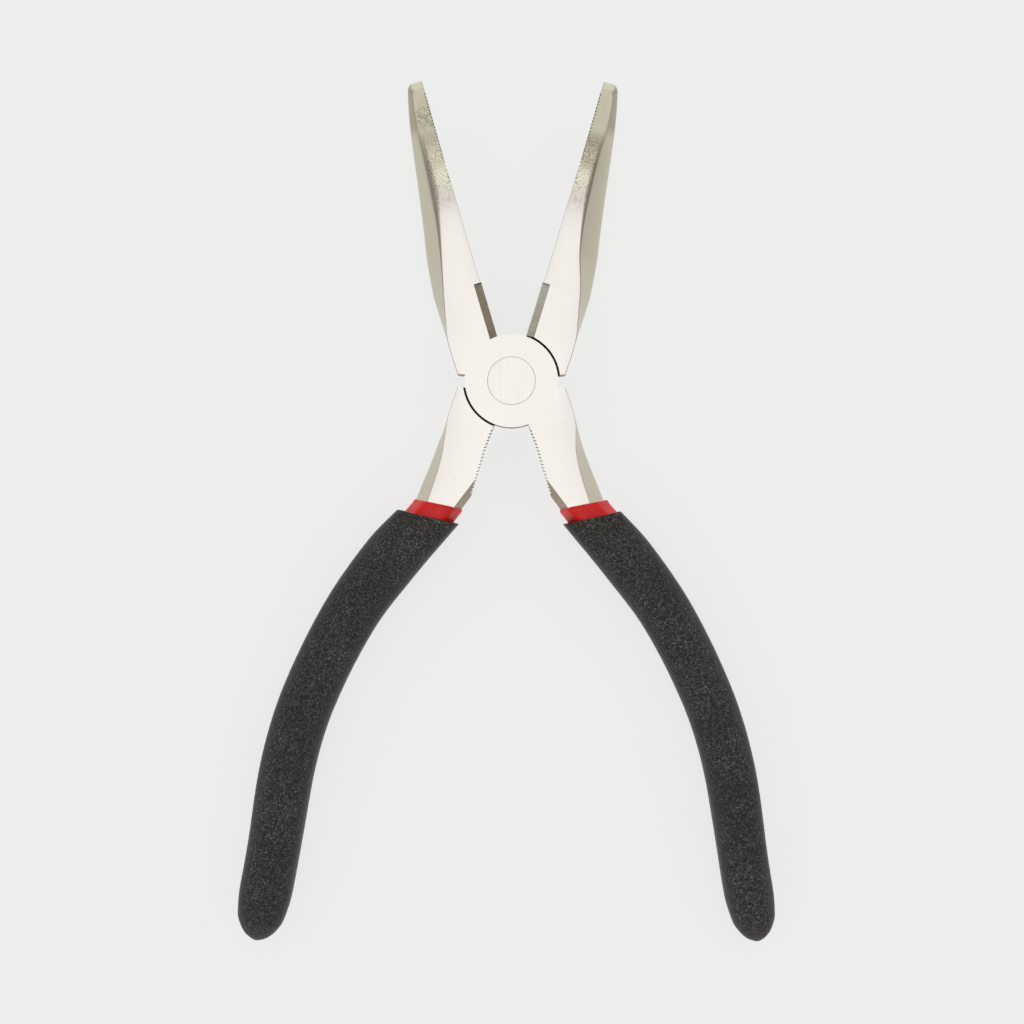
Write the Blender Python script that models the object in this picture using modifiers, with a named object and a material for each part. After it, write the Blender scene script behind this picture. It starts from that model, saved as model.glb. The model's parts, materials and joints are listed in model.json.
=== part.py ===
"""Bent needle nose pliers: two crossing levers on a riveted lap joint.

Each lever is one forging: a long jaw that bends upward towards its tip, half of the lap joint,
a neck with a pipe grip, and a tang inside a red sleeve and a black outer grip.

The pivot axis is +Z through the origin, and the underside of the head lies in z = 0. The nose
points to +Y and the handles to -Y. Both levers are drawn closed, with the jaw faces on x = 0,
and then turned apart about the pivot. The front lever has its jaw at -X and the upper half of
the lap joint. The rear lever is its mirror image with the lower half.
"""

import math

import bmesh
import bpy
from mathutils import Vector

MM = 0.001

# Joint
HEAD_THICKNESS = 10.0 * MM
DISC_RADIUS = 10.2 * MM  # the round half of the lap joint
SHOULDER_WIDTH = 0.9 * MM  # how far jaw and neck stand out beside the disc
POCKET_CLEARANCE = 0.45 * MM  # around the other lever's disc
LAP_CLEARANCE = 0.3 * MM  # between the two lap faces
RIVET_HEAD_DIAMETER = 10.6 * MM
RIVET_SHANK_DIAMETER = 7.0 * MM
RIVET_HEAD_DEPTH = 1.6 * MM
RIVET_CLEARANCE = 0.15 * MM

# How far the jaws stand open at rest, and how much further they open
OPENING = math.radians(33.7)
STOP_TRAVEL = math.radians(12.5)
STOP_CLEARANCE = math.radians(1.8)

# Jaws
NOSE_LENGTH = 70.6 * MM  # along the jaw, pivot to tip
NOSE_TIP_WIDTH = 3.3 * MM
NOSE_TIP_THICKNESS = 3.8 * MM
BEND_LENGTH = 27.0 * MM
BEND_ANGLE = math.radians(45.0)
CLOSED_GAP = 0.3 * MM  # between the closed jaws at the tip and along the cutters
JAW_RELIEF = 0.3 * MM  # the jaw faces fall away from the tip to the cutters
CUTTER_LENGTH = 12.0 * MM
CUTTER_BEVEL = 1.8 * MM  # width of the bevel in the flat
TOOTH_PITCH = 0.885 * MM
TOOTH_WIDTH = 0.6 * MM
TOOTH_DEPTH = 0.4 * MM
TOOTHED_LENGTH = 23.5 * MM

# Necks
NECK_LENGTH = 21.4 * MM  # disc to sleeve
NECK_WIDTH = 9.7 * MM  # at the sleeve
NECK_GAP = 1.6 * MM  # between the closed necks
PIPE_GRIP_PITCH = 0.79 * MM
PIPE_GRIP_WIDTH = 0.55 * MM
PIPE_GRIP_DEPTH = 0.35 * MM
PIPE_GRIP_LENGTH = 14.3 * MM

# Handles
HANDLE_LENGTH = 135.3 * MM  # pivot to the end of the grip, along Y with the pliers closed
MOUTH_TILT = math.radians(5.5)
MOUTH_TURN = 18.0 * MM  # length over which the handle's sections turn square
TANG_WIDTH = 6.4 * MM
TANG_THICKNESS = 5.6 * MM
SLEEVE_CLEARANCE = 0.25 * MM
SLEEVE_WALL = 0.6 * MM
SLEEVE_SHOWING = 3.1 * MM
GRIP_CLEARANCE = 0.25 * MM
GRIP_LIP_WALL = 0.45 * MM
GRIP_WIDTH = 11.4 * MM
GRIP_SWELL = 26.0 * MM  # length over which the thicker mouth settles to the grip's thickness
GRIP_THICKNESS = 12.0 * MM
GRIP_END_ROUND = 10.0 * MM

# What follows from them
MIDDLE = HEAD_THICKNESS / 2
HEAD_HALF_WIDTH = DISC_RADIUS + SHOULDER_WIDTH
SHOULDER_ANGLE = (OPENING + STOP_TRAVEL + STOP_CLEARANCE) / 2
CUTTER_END = DISC_RADIUS + POCKET_CLEARANCE + CUTTER_LENGTH
BEND_START = NOSE_LENGTH - BEND_LENGTH
MOUTH = DISC_RADIUS + NECK_LENGTH
GRIP_MOUTH = MOUTH + SLEEVE_SHOWING
SLEEVE_END = HANDLE_LENGTH - 3.0 * MM
TANG_END = SLEEVE_END - 3.0 * MM
CUT_MARGIN = 1.0 * MM
RIDGE = 0.6 * MM  # half the width of the ridge along a flank's middle

# Along the jaw from the end of the cutters (0) to the tip (1): share of the width, of which the
# tip has 0, width of the flank's slope, and share of the thickness
JAW_STATIONS = (
    (0.00, 1.000, 2.30 * MM, 1.000),
    (0.16, 0.896, 3.20 * MM, 1.000),
    (0.32, 0.721, 3.30 * MM, 0.984),
    (0.48, 0.558, 3.00 * MM, 0.870),
    (0.63, 0.416, 2.40 * MM, 0.645),
    (0.77, 0.279, 1.70 * MM, 0.355),
    (0.89, 0.143, 1.15 * MM, 0.160),
    (1.00, 0.000, 0.65 * MM, 0.000),
)
# From the pivot (0) to the end of the cutters (1): width beyond the head's, and flank slope
ROOT_STATIONS = (
    (0.00, -0.05 * MM, 0.00 * MM),
    (0.55, 0.00 * MM, 0.02 * MM),
    (0.75, 0.10 * MM, 1.00 * MM),
    (1.00, 0.15 * MM, 2.30 * MM),
)
# From the pivot (0) to the sleeve (1): inner edge beyond half the neck gap, slope inside, slope
# outside, and outer edge beyond the head's
NECK_STATIONS = (
    (0.00, 0.00 * MM, 0.00 * MM, 0.00 * MM, -0.10 * MM),
    (0.36, 0.02 * MM, 0.00 * MM, 0.10 * MM, 0.15 * MM),
    (0.50, 0.30 * MM, 0.00 * MM, 0.78 * MM, 0.15 * MM),
    (0.63, 0.28 * MM, 0.00 * MM, 1.45 * MM, 0.30 * MM),
    (0.73, 0.28 * MM, 0.35 * MM, 1.80 * MM, 0.50 * MM),
    (0.83, 0.20 * MM, 1.70 * MM, 2.05 * MM, 0.80 * MM),
)
NECK_MOUTH_SLOPES = (1.90 * MM, 2.35 * MM)
# From the sleeve's mouth (0) to the end of the grip (1): how far the handle's middle line
# stands from the plane between the closed handles
HANDLE_BOW = (
    (0.00, 7.60 * MM),
    (0.13, 13.35 * MM),
    (0.275, 18.45 * MM),
    (0.465, 21.80 * MM),
    (0.61, 21.95 * MM),
    (0.80, 19.55 * MM),
    (1.00, 17.50 * MM),
)
# From the grip's mouth (0) to its end (1): how much wider it is than the grip's width
GRIP_BULGE = (
    (0.00, 0.50 * MM),
    (0.10, 1.20 * MM),
    (0.22, 0.75 * MM),
    (0.33, 0.50 * MM),
    (0.50, 0.30 * MM),
    (0.68, 0.20 * MM),
    (0.80, -0.15 * MM),
    (1.00, -0.20 * MM),
)
OVAL_POINTS = 20
OVAL_POWER = 2.7  # along the handle: 2 is an ellipse, and more is squarer
MOUTH_POWER = 5.0  # at the mouth, where the sleeve holds the neck
MOUTH_FADE = 14.0 * MM  # length over which one passes into the other
STEEL_HELD = 4.0 * MM  # the neck keeps its size this far into the sleeve
STEEL_SHRINK = 8.0 * MM  # and shrinks to the tang's over this length
END_TAPER = 8.0 * MM  # length over which tang and sleeve get thinner at their ends
END_THINNER = 0.4  # by this share
TANG_ROOT = 12.0 * MM  # the tang starts within the neck, with its plain section this far
EDGE_HEIGHT = 0.1 * MM  # half the height of the cutting edge
TIP_ROUND = 0.5 * MM
TIP_SHRINK = 0.35 * MM
FIRST_TOOTH = 1.2 * MM  # from the tip
FIRST_PIPE_TOOTH = 1.6 * MM  # from the disc
GROOVE_RISE = 0.05 * MM  # the groove cutters start this far above the metal
RIVET_RIM = 0.25 * MM  # the straight rim of a rivet head
JAW_STEP = 3.0 * MM  # spacing of the sections
BEND_STEP = 1.8 * MM
NECK_STEP = 1.6 * MM
TANG_STEP = 6.0 * MM
GRIP_STEP = 5.5 * MM


def smooth(rows, at):
    """Values at a place along rows of (place, value, ...), joined by smooth curves."""
    at = min(max(at, rows[0][0]), rows[-1][0])
    i = max(k for k in range(len(rows) - 1) if rows[k][0] <= at)
    span = rows[i + 1][0] - rows[i][0]
    t = (at - rows[i][0]) / span

    def slope(k, column):
        low, high = max(k - 1, 0), min(k + 1, len(rows) - 1)
        return (rows[high][column] - rows[low][column]) / (rows[high][0] - rows[low][0]) * span

    shares = 2 * t**3 - 3 * t**2 + 1, t**3 - 2 * t**2 + t, 3 * t**2 - 2 * t**3, t**3 - t**2
    values = []
    for column in range(1, len(rows[0])):
        ends = rows[i][column], slope(i, column), rows[i + 1][column], slope(i + 1, column)
        values.append(sum(share * end for share, end in zip(shares, ends)))
    return values


def ease(t):
    """0 below 0, 1 above 1, and a smooth step between."""
    t = min(max(t, 0.0), 1.0)
    return t * t * (3 - 2 * t)


def steps(first, last, longest):
    """Evenly spaced places from first to last, no further apart than longest."""
    count = max(1, math.ceil(abs(last - first) / longest))
    return [first + (last - first) * i / count for i in range(count + 1)]


# ---------------------------------------------------------------- making objects


def new_object(name, mesh, collection, parent):
    made = bpy.data.objects.new(name, mesh)
    collection.objects.link(made)
    made.parent = parent
    return made


def helper(name, mesh, parent):
    """A cutter, or a shape that is joined to another: it isn't a part by itself."""
    made = new_object(name, mesh, bpy.data.collections["Cutters"], parent)
    made.hide_render = True
    made.display_type = "WIRE"
    return made


def mesh_of(name, shape):
    bmesh.ops.recalc_face_normals(shape, faces=shape.faces)
    mesh = bpy.data.meshes.new(name)
    shape.to_mesh(mesh)
    shape.free()
    return mesh


def loft(name, sections):
    """A closed mesh through sections with the same number of points, capped at both ends."""
    shape = bmesh.new()
    rings = [[shape.verts.new(point) for point in section] for section in sections]
    for ring, other in zip(rings, rings[1:]):
        for i in range(len(ring)):
            j = (i + 1) % len(ring)
            shape.faces.new((ring[i], ring[j], other[j], other[i]))
    shape.faces.new(rings[0])
    shape.faces.new(rings[-1])
    return mesh_of(name, shape)


def prisms(name, outlines):
    """A closed mesh of separate prisms, each from a pair of like outlines."""
    shape = bmesh.new()
    for first, second in outlines:
        near = [shape.verts.new(point) for point in first]
        far = [shape.verts.new(point) for point in second]
        shape.faces.new(near)
        shape.faces.new(far)
        for i in range(len(near)):
            j = (i + 1) % len(near)
            shape.faces.new((near[i], near[j], far[j], far[i]))
    return mesh_of(name, shape)


def cylinder(name, radius, low, high, segments=72):
    shape = bmesh.new()
    bmesh.ops.create_cone(
        shape, cap_ends=True, segments=segments, radius1=radius, radius2=radius, depth=high - low
    )
    bmesh.ops.translate(shape, verts=shape.verts, vec=(0, 0, (low + high) / 2))
    return mesh_of(name, shape)


def turned(made, profile, segments=48):
    """Gives an object the solid that a profile of (radius, height) sweeps about Z, listed from
    the top of the axis down the outer side."""
    shape = bmesh.new()
    points = [shape.verts.new((radius, 0, height)) for radius, height in profile]
    for above, below in zip(points, points[1:]):
        shape.edges.new((above, below))
    shape.to_mesh(made.data)
    shape.free()
    screw = made.modifiers.new("Turn", "SCREW")
    screw.steps = screw.render_steps = segments
    screw.use_merge_vertices = True
    screw.merge_threshold = 0.00001


def boolean(target, operation, operand):
    modifier = target.modifiers.new(operand.name, "BOOLEAN")
    modifier.operation = operation
    modifier.object = operand
    modifier.solver = "EXACT"


def material(name, colour, roughness, metallic):
    made = bpy.data.materials.new(name)
    made.use_nodes = True
    shader = made.node_tree.nodes["Principled BSDF"]
    shader.inputs["Base Color"].default_value = (*colour, 1)
    shader.inputs["Roughness"].default_value = roughness
    shader.inputs["Metallic"].default_value = metallic
    made.diffuse_color = (*colour, 1)
    return made


# ---------------------------------------------------------------- jaw


def jaw_slope(s):
    return BEND_ANGLE * ease((s - BEND_START) / BEND_LENGTH)


def jaw_middle(s):
    """Y and Z of the jaw's middle line at a length s along it from the pivot."""
    y, z = min(s, BEND_START), MIDDLE
    count = math.ceil(max(s - BEND_START, 0) / (0.5 * MM))
    for i in range(count):
        step = (s - BEND_START) / count
        angle = jaw_slope(BEND_START + step * (i + 0.5))
        y += step * math.cos(angle)
        z += step * math.sin(angle)
    return y, z


def jaw_face(s):
    """How far the jaw's inner face is from the plane between the closed jaws."""
    if s <= CUTTER_END:
        return CLOSED_GAP / 2
    return CLOSED_GAP / 2 + JAW_RELIEF * (NOSE_LENGTH - s) / (NOSE_LENGTH - CUTTER_END)


def jaw_size(s):
    """Outer edge, width of the flank's slope and half the thickness."""
    widest = HEAD_HALF_WIDTH + ROOT_STATIONS[-1][1]
    if s < CUTTER_END:
        wider, flank = smooth(ROOT_STATIONS, s / CUTTER_END)
        return HEAD_HALF_WIDTH + wider, flank, MIDDLE
    width, flank, thickness = smooth(JAW_STATIONS, (s - CUTTER_END) / (NOSE_LENGTH - CUTTER_END))
    outer = NOSE_TIP_WIDTH + (widest - NOSE_TIP_WIDTH) * width
    thin = NOSE_TIP_THICKNESS / 2
    return outer, flank, thin + (MIDDLE - thin) * thickness


def jaw_point(side, s, x, across):
    """The point at x from the jaws' plane and across the jaw's thickness."""
    y, z = jaw_middle(s)
    angle = jaw_slope(s)
    # The root's sections turn from the shoulder's line to straight across the jaw.
    lean = math.tan(SHOULDER_ANGLE) * (1 - ease(s / DISC_RADIUS))
    return Vector((side * x, y + lean * x - across * math.sin(angle), z + across * math.cos(angle)))


def jaw_section(side, s, shrink=0.0):
    outer, flank, half = jaw_size(s)
    outer, half = outer - shrink, half - shrink
    inner = jaw_face(s) + shrink
    ridge = min(RIDGE, half / 2)
    corners = (
        (inner, -half),
        (inner, half),
        (outer - flank, half),
        (outer, ridge),
        (outer, -ridge),
        (outer - flank, -half),
    )
    return [jaw_point(side, s, x, across) for x, across in corners]


def jaw(side):
    places = steps(0, CUTTER_END, JAW_STEP)
    places += steps(CUTTER_END + JAW_RELIEF / 2, BEND_START, JAW_STEP)
    places += steps(BEND_START, NOSE_LENGTH - TIP_ROUND, BEND_STEP)[1:]
    sections = [jaw_section(side, s) for s in places]
    sections.append(jaw_section(side, NOSE_LENGTH, TIP_SHRINK))
    return loft("jaw", sections)


def cutter_bevels(side):
    """Two wedges that leave the cutting edge at half thickness."""
    edge, land = CLOSED_GAP / 2, EDGE_HEIGHT
    run = CUTTER_BEVEL / (MIDDLE - land)
    outlines = []
    for up in (1, -1):
        outline = (
            (edge, land),
            (edge + run * (MIDDLE + CUT_MARGIN - land), MIDDLE + CUT_MARGIN),
            (edge - 3 * CUT_MARGIN, MIDDLE + CUT_MARGIN),
            (edge - 3 * CUT_MARGIN, land),
        )
        outlines.append(
            [
                [Vector((side * x, y, MIDDLE + up * height)) for x, height in outline]
                for y in (DISC_RADIUS / 2, CUTTER_END)
            ]
        )
    return prisms("cutter_bevels", outlines)


def grooves(name, places, width, depth, point, half):
    """V grooves across an edge: point gives the place at a depth below it and a height."""
    reach = width / 2 * (depth + GROOVE_RISE) / depth
    outlines = []
    for s in places:
        corners = ((s, depth), (s - reach, -GROOVE_RISE), (s + reach, -GROOVE_RISE))
        ends = [[point(*corner, height) for corner in corners] for height in (-half, half)]
        outlines.append(ends)
    return prisms(name, outlines)


def jaw_teeth(side):
    def point(s, depth, across):
        return jaw_point(side, s, jaw_face(s) + depth, across)

    last = NOSE_LENGTH - FIRST_TOOTH
    count = int(TOOTHED_LENGTH / TOOTH_PITCH)
    places = [last - i * TOOTH_PITCH for i in range(count + 1)]
    return grooves("jaw_teeth", places, TOOTH_WIDTH, TOOTH_DEPTH, point, MIDDLE + CUT_MARGIN)


# ---------------------------------------------------------------- handle


def handle_bow(b):
    """How far the handle's middle line stands out at a distance b behind the pivot."""
    return smooth(HANDLE_BOW, (b - MOUTH) / (HANDLE_LENGTH - MOUTH))[0]


def handle_angles(b):
    """The angle of a section below X on its outer side, and how far that is from square to the
    middle line. The mouth is cut slanting, and further on the sections are square."""
    step = 0.5 * MM
    low, high = max(b - step, MOUTH), min(b + step, HANDLE_LENGTH)
    square = -math.atan((handle_bow(high) - handle_bow(low)) / (high - low))
    tilt = MOUTH_TILT + (square - MOUTH_TILT) * ease((b - MOUTH) / MOUTH_TURN)
    return tilt, tilt - square


def neck_section(side, b):
    share = min(b / MOUTH, 1.0)
    last = NECK_STATIONS[-1][0]
    half = NECK_WIDTH / 2
    mouth_row = (1.0, HANDLE_BOW[0][1] - half, *NECK_MOUTH_SLOPES, HANDLE_BOW[0][1] + half)
    rows = [
        (place, NECK_GAP / 2 + inner, inside, outside, HEAD_HALF_WIDTH + outer)
        for place, inner, inside, outside, outer in NECK_STATIONS
    ]
    inner, inside, outside, outer = smooth([*rows, mouth_row], share)
    lean = math.tan(SHOULDER_ANGLE) * (1 - ease(b / DISC_RADIUS))
    turn = ease((share - last) / (1 - last))
    tilt = math.tan(MOUTH_TILT) * turn
    corners = (
        (inner, RIDGE),
        (inner + inside, MIDDLE),
        (outer - outside, MIDDLE),
        (outer, RIDGE),
        (outer, -RIDGE),
        (outer - outside, -MIDDLE),
        (inner + inside, -MIDDLE),
        (inner, -RIDGE),
    )
    return [
        Vector((-side * x, -(b + lean * x + tilt * (x - HANDLE_BOW[0][1])), MIDDLE + z))
        for x, z in corners
    ]


def neck_end(side, b, share):
    """The neck's last sections, which shrink to the tang inside the sleeve."""
    section = neck_section(side, MOUTH)
    centre = Vector((-side * HANDLE_BOW[0][1], -MOUTH, MIDDLE))
    moved = Vector((-side * handle_bow(b), -b, MIDDLE))
    return [moved + (point - centre) * share for point in section]


def neck(side):
    sections = [neck_section(side, b) for b in steps(0, MOUTH, NECK_STEP)]
    # Inside the sleeve the neck shrinks a little, and then to less than the tang.
    sections.append(neck_end(side, MOUTH + NECK_STEP, 0.97))
    sections.append(neck_end(side, MOUTH + STEEL_HELD + NECK_STEP, TANG_WIDTH / NECK_WIDTH * 0.8))
    return loft("neck", sections)


def oval(side, b, half_width, half_thickness):
    power = MOUTH_POWER + (OVAL_POWER - MOUTH_POWER) * ease((b - MOUTH) / MOUTH_FADE)
    tilt = handle_angles(b)[0]
    across = Vector((-side * math.cos(tilt), -math.sin(tilt), 0))
    centre = Vector((-side * handle_bow(b), -b, MIDDLE))
    points = []
    for i in range(OVAL_POINTS):
        angle = 2 * math.pi * (i + 0.5) / OVAL_POINTS
        wide = math.copysign(abs(math.cos(angle)) ** (2 / power), math.cos(angle))
        high = math.copysign(abs(math.sin(angle)) ** (2 / power), math.sin(angle))
        points.append(centre + across * (wide * half_width) + Vector((0, 0, high * half_thickness)))
    return points


def steel_size(b, end):
    """Half width and half thickness of the room that the neck and tang need in the sleeve."""
    shrink = ease((b - MOUTH - STEEL_HELD) / STEEL_SHRINK)
    taper = 1 - END_THINNER * ease((b - end + END_TAPER) / END_TAPER)
    wide = NECK_WIDTH / 2 / math.cos(MOUTH_TILT)
    half_width = wide + (TANG_WIDTH / 2 - wide) * shrink
    half_thickness = MIDDLE + (TANG_THICKNESS / 2 - MIDDLE) * shrink
    return half_width * taper, half_thickness * taper


def grown(size, by):
    return size[0] + by, size[1] + by


def sleeve_size(b, end):
    return grown(steel_size(b, end), SLEEVE_CLEARANCE + SLEEVE_WALL)


def grip_hollow_size(b, end):
    return grown(sleeve_size(b, end), GRIP_CLEARANCE)


def grip_size(b):
    least = grown(grip_hollow_size(b, SLEEVE_END), GRIP_LIP_WALL)
    lip = grown(grip_hollow_size(GRIP_MOUTH, SLEEVE_END), GRIP_LIP_WALL)[1]
    settled = min(max((b - GRIP_MOUTH) / GRIP_SWELL, 0.0), 1.0)
    square_width = GRIP_WIDTH + smooth(GRIP_BULGE, (b - GRIP_MOUTH) / (HANDLE_LENGTH - GRIP_MOUTH))[0]
    width = max(square_width / 2 / math.cos(handle_angles(b)[1]), least[0])
    thickness = max(lip + (GRIP_THICKNESS / 2 - lip) * settled, least[1])
    return width, thickness


def tang(side):
    sections = []
    for b in steps(MOUTH + NECK_STEP, TANG_END, TANG_STEP):
        half_width, half_thickness = steel_size(b, TANG_END)
        if b < MOUTH + TANG_ROOT:
            half_width, half_thickness = TANG_WIDTH / 2, TANG_THICKNESS / 2
        sections.append(oval(side, b, half_width, half_thickness))
    return loft("tang", sections)


def facing_places():
    """Where the sleeve's outside and the grip's hollow have sections, so that they nest."""
    shrinking = steps(GRIP_MOUTH, MOUTH + TANG_ROOT, TANG_STEP / 2)
    return shrinking + steps(MOUTH + TANG_ROOT, SLEEVE_END, TANG_STEP)[1:]


def inner_sleeve(side):
    outside = facing_places()[::-1] + [MOUTH + 2 * SLEEVE_WALL, MOUTH + SLEEVE_WALL]
    inside = steps(MOUTH, MOUTH + TANG_ROOT, TANG_STEP / 2)
    inside += steps(MOUTH + TANG_ROOT, TANG_END + CUT_MARGIN, TANG_STEP)[1:]
    sections = [oval(side, b, *sleeve_size(b, SLEEVE_END)) for b in outside]
    sections.append(oval(side, MOUTH, *grown(sleeve_size(MOUTH, SLEEVE_END), -SLEEVE_WALL / 2)))
    sections += [oval(side, b, *grown(steel_size(b, SLEEVE_END), SLEEVE_CLEARANCE)) for b in inside]
    return loft("sleeve", sections)


def outer_grip(side):
    sections = []
    start = HANDLE_LENGTH - GRIP_END_ROUND
    width, thickness = grip_size(start)
    for turn in steps(math.radians(6), math.radians(90), math.radians(14))[:-1]:
        b = start + GRIP_END_ROUND * math.cos(turn)
        sections.append(oval(side, b, width * math.sin(turn), thickness * math.sin(turn)))
    outside = steps(start, GRIP_MOUTH + MOUTH_FADE, GRIP_STEP)
    outside += steps(GRIP_MOUTH + MOUTH_FADE, GRIP_MOUTH, GRIP_STEP / 2)[1:]
    inside = [*facing_places(), SLEEVE_END + GRIP_CLEARANCE]
    sections += [oval(side, b, *grip_size(b)) for b in outside]
    sections += [oval(side, b, *grip_hollow_size(b, SLEEVE_END)) for b in inside]
    return loft("grip", sections)


def pipe_grip(side):
    def point(b, depth, height):
        corner = neck_section(side, b)[0]
        return Vector((corner.x - side * depth, corner.y, MIDDLE + height))

    first = DISC_RADIUS + FIRST_PIPE_TOOTH
    count = int(PIPE_GRIP_LENGTH / PIPE_GRIP_PITCH)
    places = [first + i * PIPE_GRIP_PITCH for i in range(count + 1)]
    return grooves("pipe_grip", places, PIPE_GRIP_WIDTH, PIPE_GRIP_DEPTH, point, MIDDLE + CUT_MARGIN)


# ---------------------------------------------------------------- parts


def rivet_profile(grow=0.0, overshoot=0.0):
    """From the top of the axis to its bottom: a shank with a countersunk head at each end."""
    head, shank = RIVET_HEAD_DIAMETER / 2 + grow, RIVET_SHANK_DIAMETER / 2 + grow
    top = HEAD_THICKNESS + overshoot
    return (
        (0, top),
        (head, top),
        (head, HEAD_THICKNESS - RIVET_RIM),
        (shank, HEAD_THICKNESS - RIVET_HEAD_DEPTH),
        (shank, RIVET_HEAD_DEPTH),
        (head, RIVET_RIM),
        (head, -overshoot),
        (0, -overshoot),
    )


def lever(name, side, upper, parent, collection, steel):
    """One forging. side is -1 where its jaw is at -X, and upper is true for the lap's upper half."""
    made = new_object(name, jaw(side), collection, parent)
    made.data.name = name
    made.data.materials.append(steel)
    lap = MIDDLE + LAP_CLEARANCE / 2 if upper else MIDDLE - LAP_CLEARANCE / 2
    disc = (lap, HEAD_THICKNESS) if upper else (0, lap)
    pocket = (-CUT_MARGIN, lap) if upper else (lap, HEAD_THICKNESS + CUT_MARGIN)
    bore = helper(f"{name}_bore", bpy.data.meshes.new("bore"), parent)
    turned(bore, rivet_profile(RIVET_CLEARANCE, CUT_MARGIN))
    pocket_radius = DISC_RADIUS + POCKET_CLEARANCE
    for operation, label, mesh in (
        ("DIFFERENCE", "cutter_bevels", cutter_bevels(side)),
        ("UNION", "disc", cylinder("disc", DISC_RADIUS, *disc)),
        ("UNION", "neck", neck(side)),
        ("UNION", "tang", tang(side)),
        ("DIFFERENCE", "pocket", cylinder("pocket", pocket_radius, *pocket)),
        ("DIFFERENCE", "jaw_teeth", jaw_teeth(side)),
        ("DIFFERENCE", "pipe_grip", pipe_grip(side)),
    ):
        boolean(made, operation, helper(f"{name}_{label}", mesh, parent))
    boolean(made, "DIFFERENCE", bore)
    return made


def soft_part(name, mesh, parent, collection, vinyl):
    made = new_object(name, mesh, collection, parent)
    mesh.name = name
    mesh.materials.append(vinyl)
    mesh.shade_smooth()
    mesh.set_sharp_from_angle(angle=math.radians(40))
    return made


def main():
    for old in list(bpy.data.objects):
        bpy.data.objects.remove(old, do_unlink=True)
    collection = bpy.data.collections.new("Needle_nose_pliers")
    cutters = bpy.data.collections.new("Cutters")
    for made in (collection, cutters):
        bpy.context.scene.collection.children.link(made)

    steel = material("Satin nickel steel", (0.80, 0.77, 0.71), 0.30, 1.0)
    bright = material("Ground steel", (0.83, 0.80, 0.75), 0.26, 1.0)
    red = material("Red vinyl", (0.55, 0.02, 0.025), 0.32, 0.0)
    black = material("Black foam vinyl", (0.018, 0.017, 0.016), 0.75, 0.0)

    sides = {}
    for name, side, upper in (("front", -1, True), ("rear", 1, False)):
        pivot = new_object(f"{name}_side", None, collection, None)
        # The front jaw, at -X, opens anticlockwise from above.
        pivot.rotation_euler.z = -side * OPENING / 2
        sides[name] = pivot
        lever(f"{name}_lever", side, upper, pivot, collection, steel)
        soft_part(f"{name}_inner_sleeve", inner_sleeve(side), pivot, collection, red)
        soft_part(f"{name}_outer_grip", outer_grip(side), pivot, collection, black)

    rivet = new_object("pivot_rivet", bpy.data.meshes.new("pivot_rivet"), collection, sides["rear"])
    turned(rivet, rivet_profile())
    rivet.data.materials.append(bright)


main()
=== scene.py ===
"""Bent needle nose pliers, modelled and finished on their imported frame.

Both levers are shaped closed, with the jaw faces on either side of x = 0 and the pivot axis on Z,
and are then turned apart about the pivot. The nose points to +Y and bends up. The front lever has
its jaw at -X and the upper half of the lap joint, and the rear lever is its mirror image with the
lower half. All lengths are in metres.
"""

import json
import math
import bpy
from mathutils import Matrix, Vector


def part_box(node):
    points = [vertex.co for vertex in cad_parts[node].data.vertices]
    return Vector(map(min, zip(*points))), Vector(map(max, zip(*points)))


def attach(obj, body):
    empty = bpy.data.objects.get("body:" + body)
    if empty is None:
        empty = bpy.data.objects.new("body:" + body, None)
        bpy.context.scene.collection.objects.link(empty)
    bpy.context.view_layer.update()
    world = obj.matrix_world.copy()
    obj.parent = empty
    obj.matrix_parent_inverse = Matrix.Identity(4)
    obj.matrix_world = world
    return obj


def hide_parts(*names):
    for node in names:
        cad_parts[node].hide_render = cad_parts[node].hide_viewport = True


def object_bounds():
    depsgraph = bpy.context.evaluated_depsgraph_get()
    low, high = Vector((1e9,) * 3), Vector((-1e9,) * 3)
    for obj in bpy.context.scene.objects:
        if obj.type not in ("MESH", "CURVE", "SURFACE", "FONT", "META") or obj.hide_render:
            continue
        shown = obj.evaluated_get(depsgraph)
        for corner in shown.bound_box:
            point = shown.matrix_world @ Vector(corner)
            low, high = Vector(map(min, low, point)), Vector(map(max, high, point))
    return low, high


bl_info = {
    "name": "Needle nose pliers",
    "version": (1, 0, 0),
    "blender": (4, 5, 0),
    "location": "3D View > Sidebar > Pliers",
    "description": "Models bent needle nose pliers in steel and vinyl on their packed frame",
    "category": "Add Mesh",
}

import bpy
from bpy.props import FloatProperty, FloatVectorProperty, PointerProperty
from mathutils import Matrix, Vector

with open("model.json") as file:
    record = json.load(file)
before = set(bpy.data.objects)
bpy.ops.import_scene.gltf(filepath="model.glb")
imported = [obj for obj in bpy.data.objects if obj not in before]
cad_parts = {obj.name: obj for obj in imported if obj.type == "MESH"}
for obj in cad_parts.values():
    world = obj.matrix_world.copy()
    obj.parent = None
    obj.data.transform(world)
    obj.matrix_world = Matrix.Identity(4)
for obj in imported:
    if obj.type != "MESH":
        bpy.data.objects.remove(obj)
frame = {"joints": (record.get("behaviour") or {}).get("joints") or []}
CAD_BOX = [list(corner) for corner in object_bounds()]
HINGE = frame["joints"][0]

MM = 0.001
OPENING = -math.radians(HINGE["range_deg"][0])
STOP_TRAVEL = math.radians(HINGE["range_deg"][1])
STOP_CLEARANCE = math.radians(1.8)
RIDGE = 0.6 * MM  # half the width of the ridge along the middle of a flank
CRISP = 0.08 * MM  # how far a sharp edge is rounded
CUT_MARGIN = 1.0 * MM
INNER_ROUNDING = 0.3  # of the tip's rounding, on the side of the teeth
TOOTH_START = 1.2 * MM  # from the tip to the first tooth
PIPE_START = 1.6 * MM  # from the disc to the first tooth of the pipe grip
SLEEVE_FIT = 0.06 * MM  # between the neck and the inside of the sleeve's rim
OVAL, MOUTH_OVAL = 2.7, 5.0  # how square the handle's section is, and how square at its mouth
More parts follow.
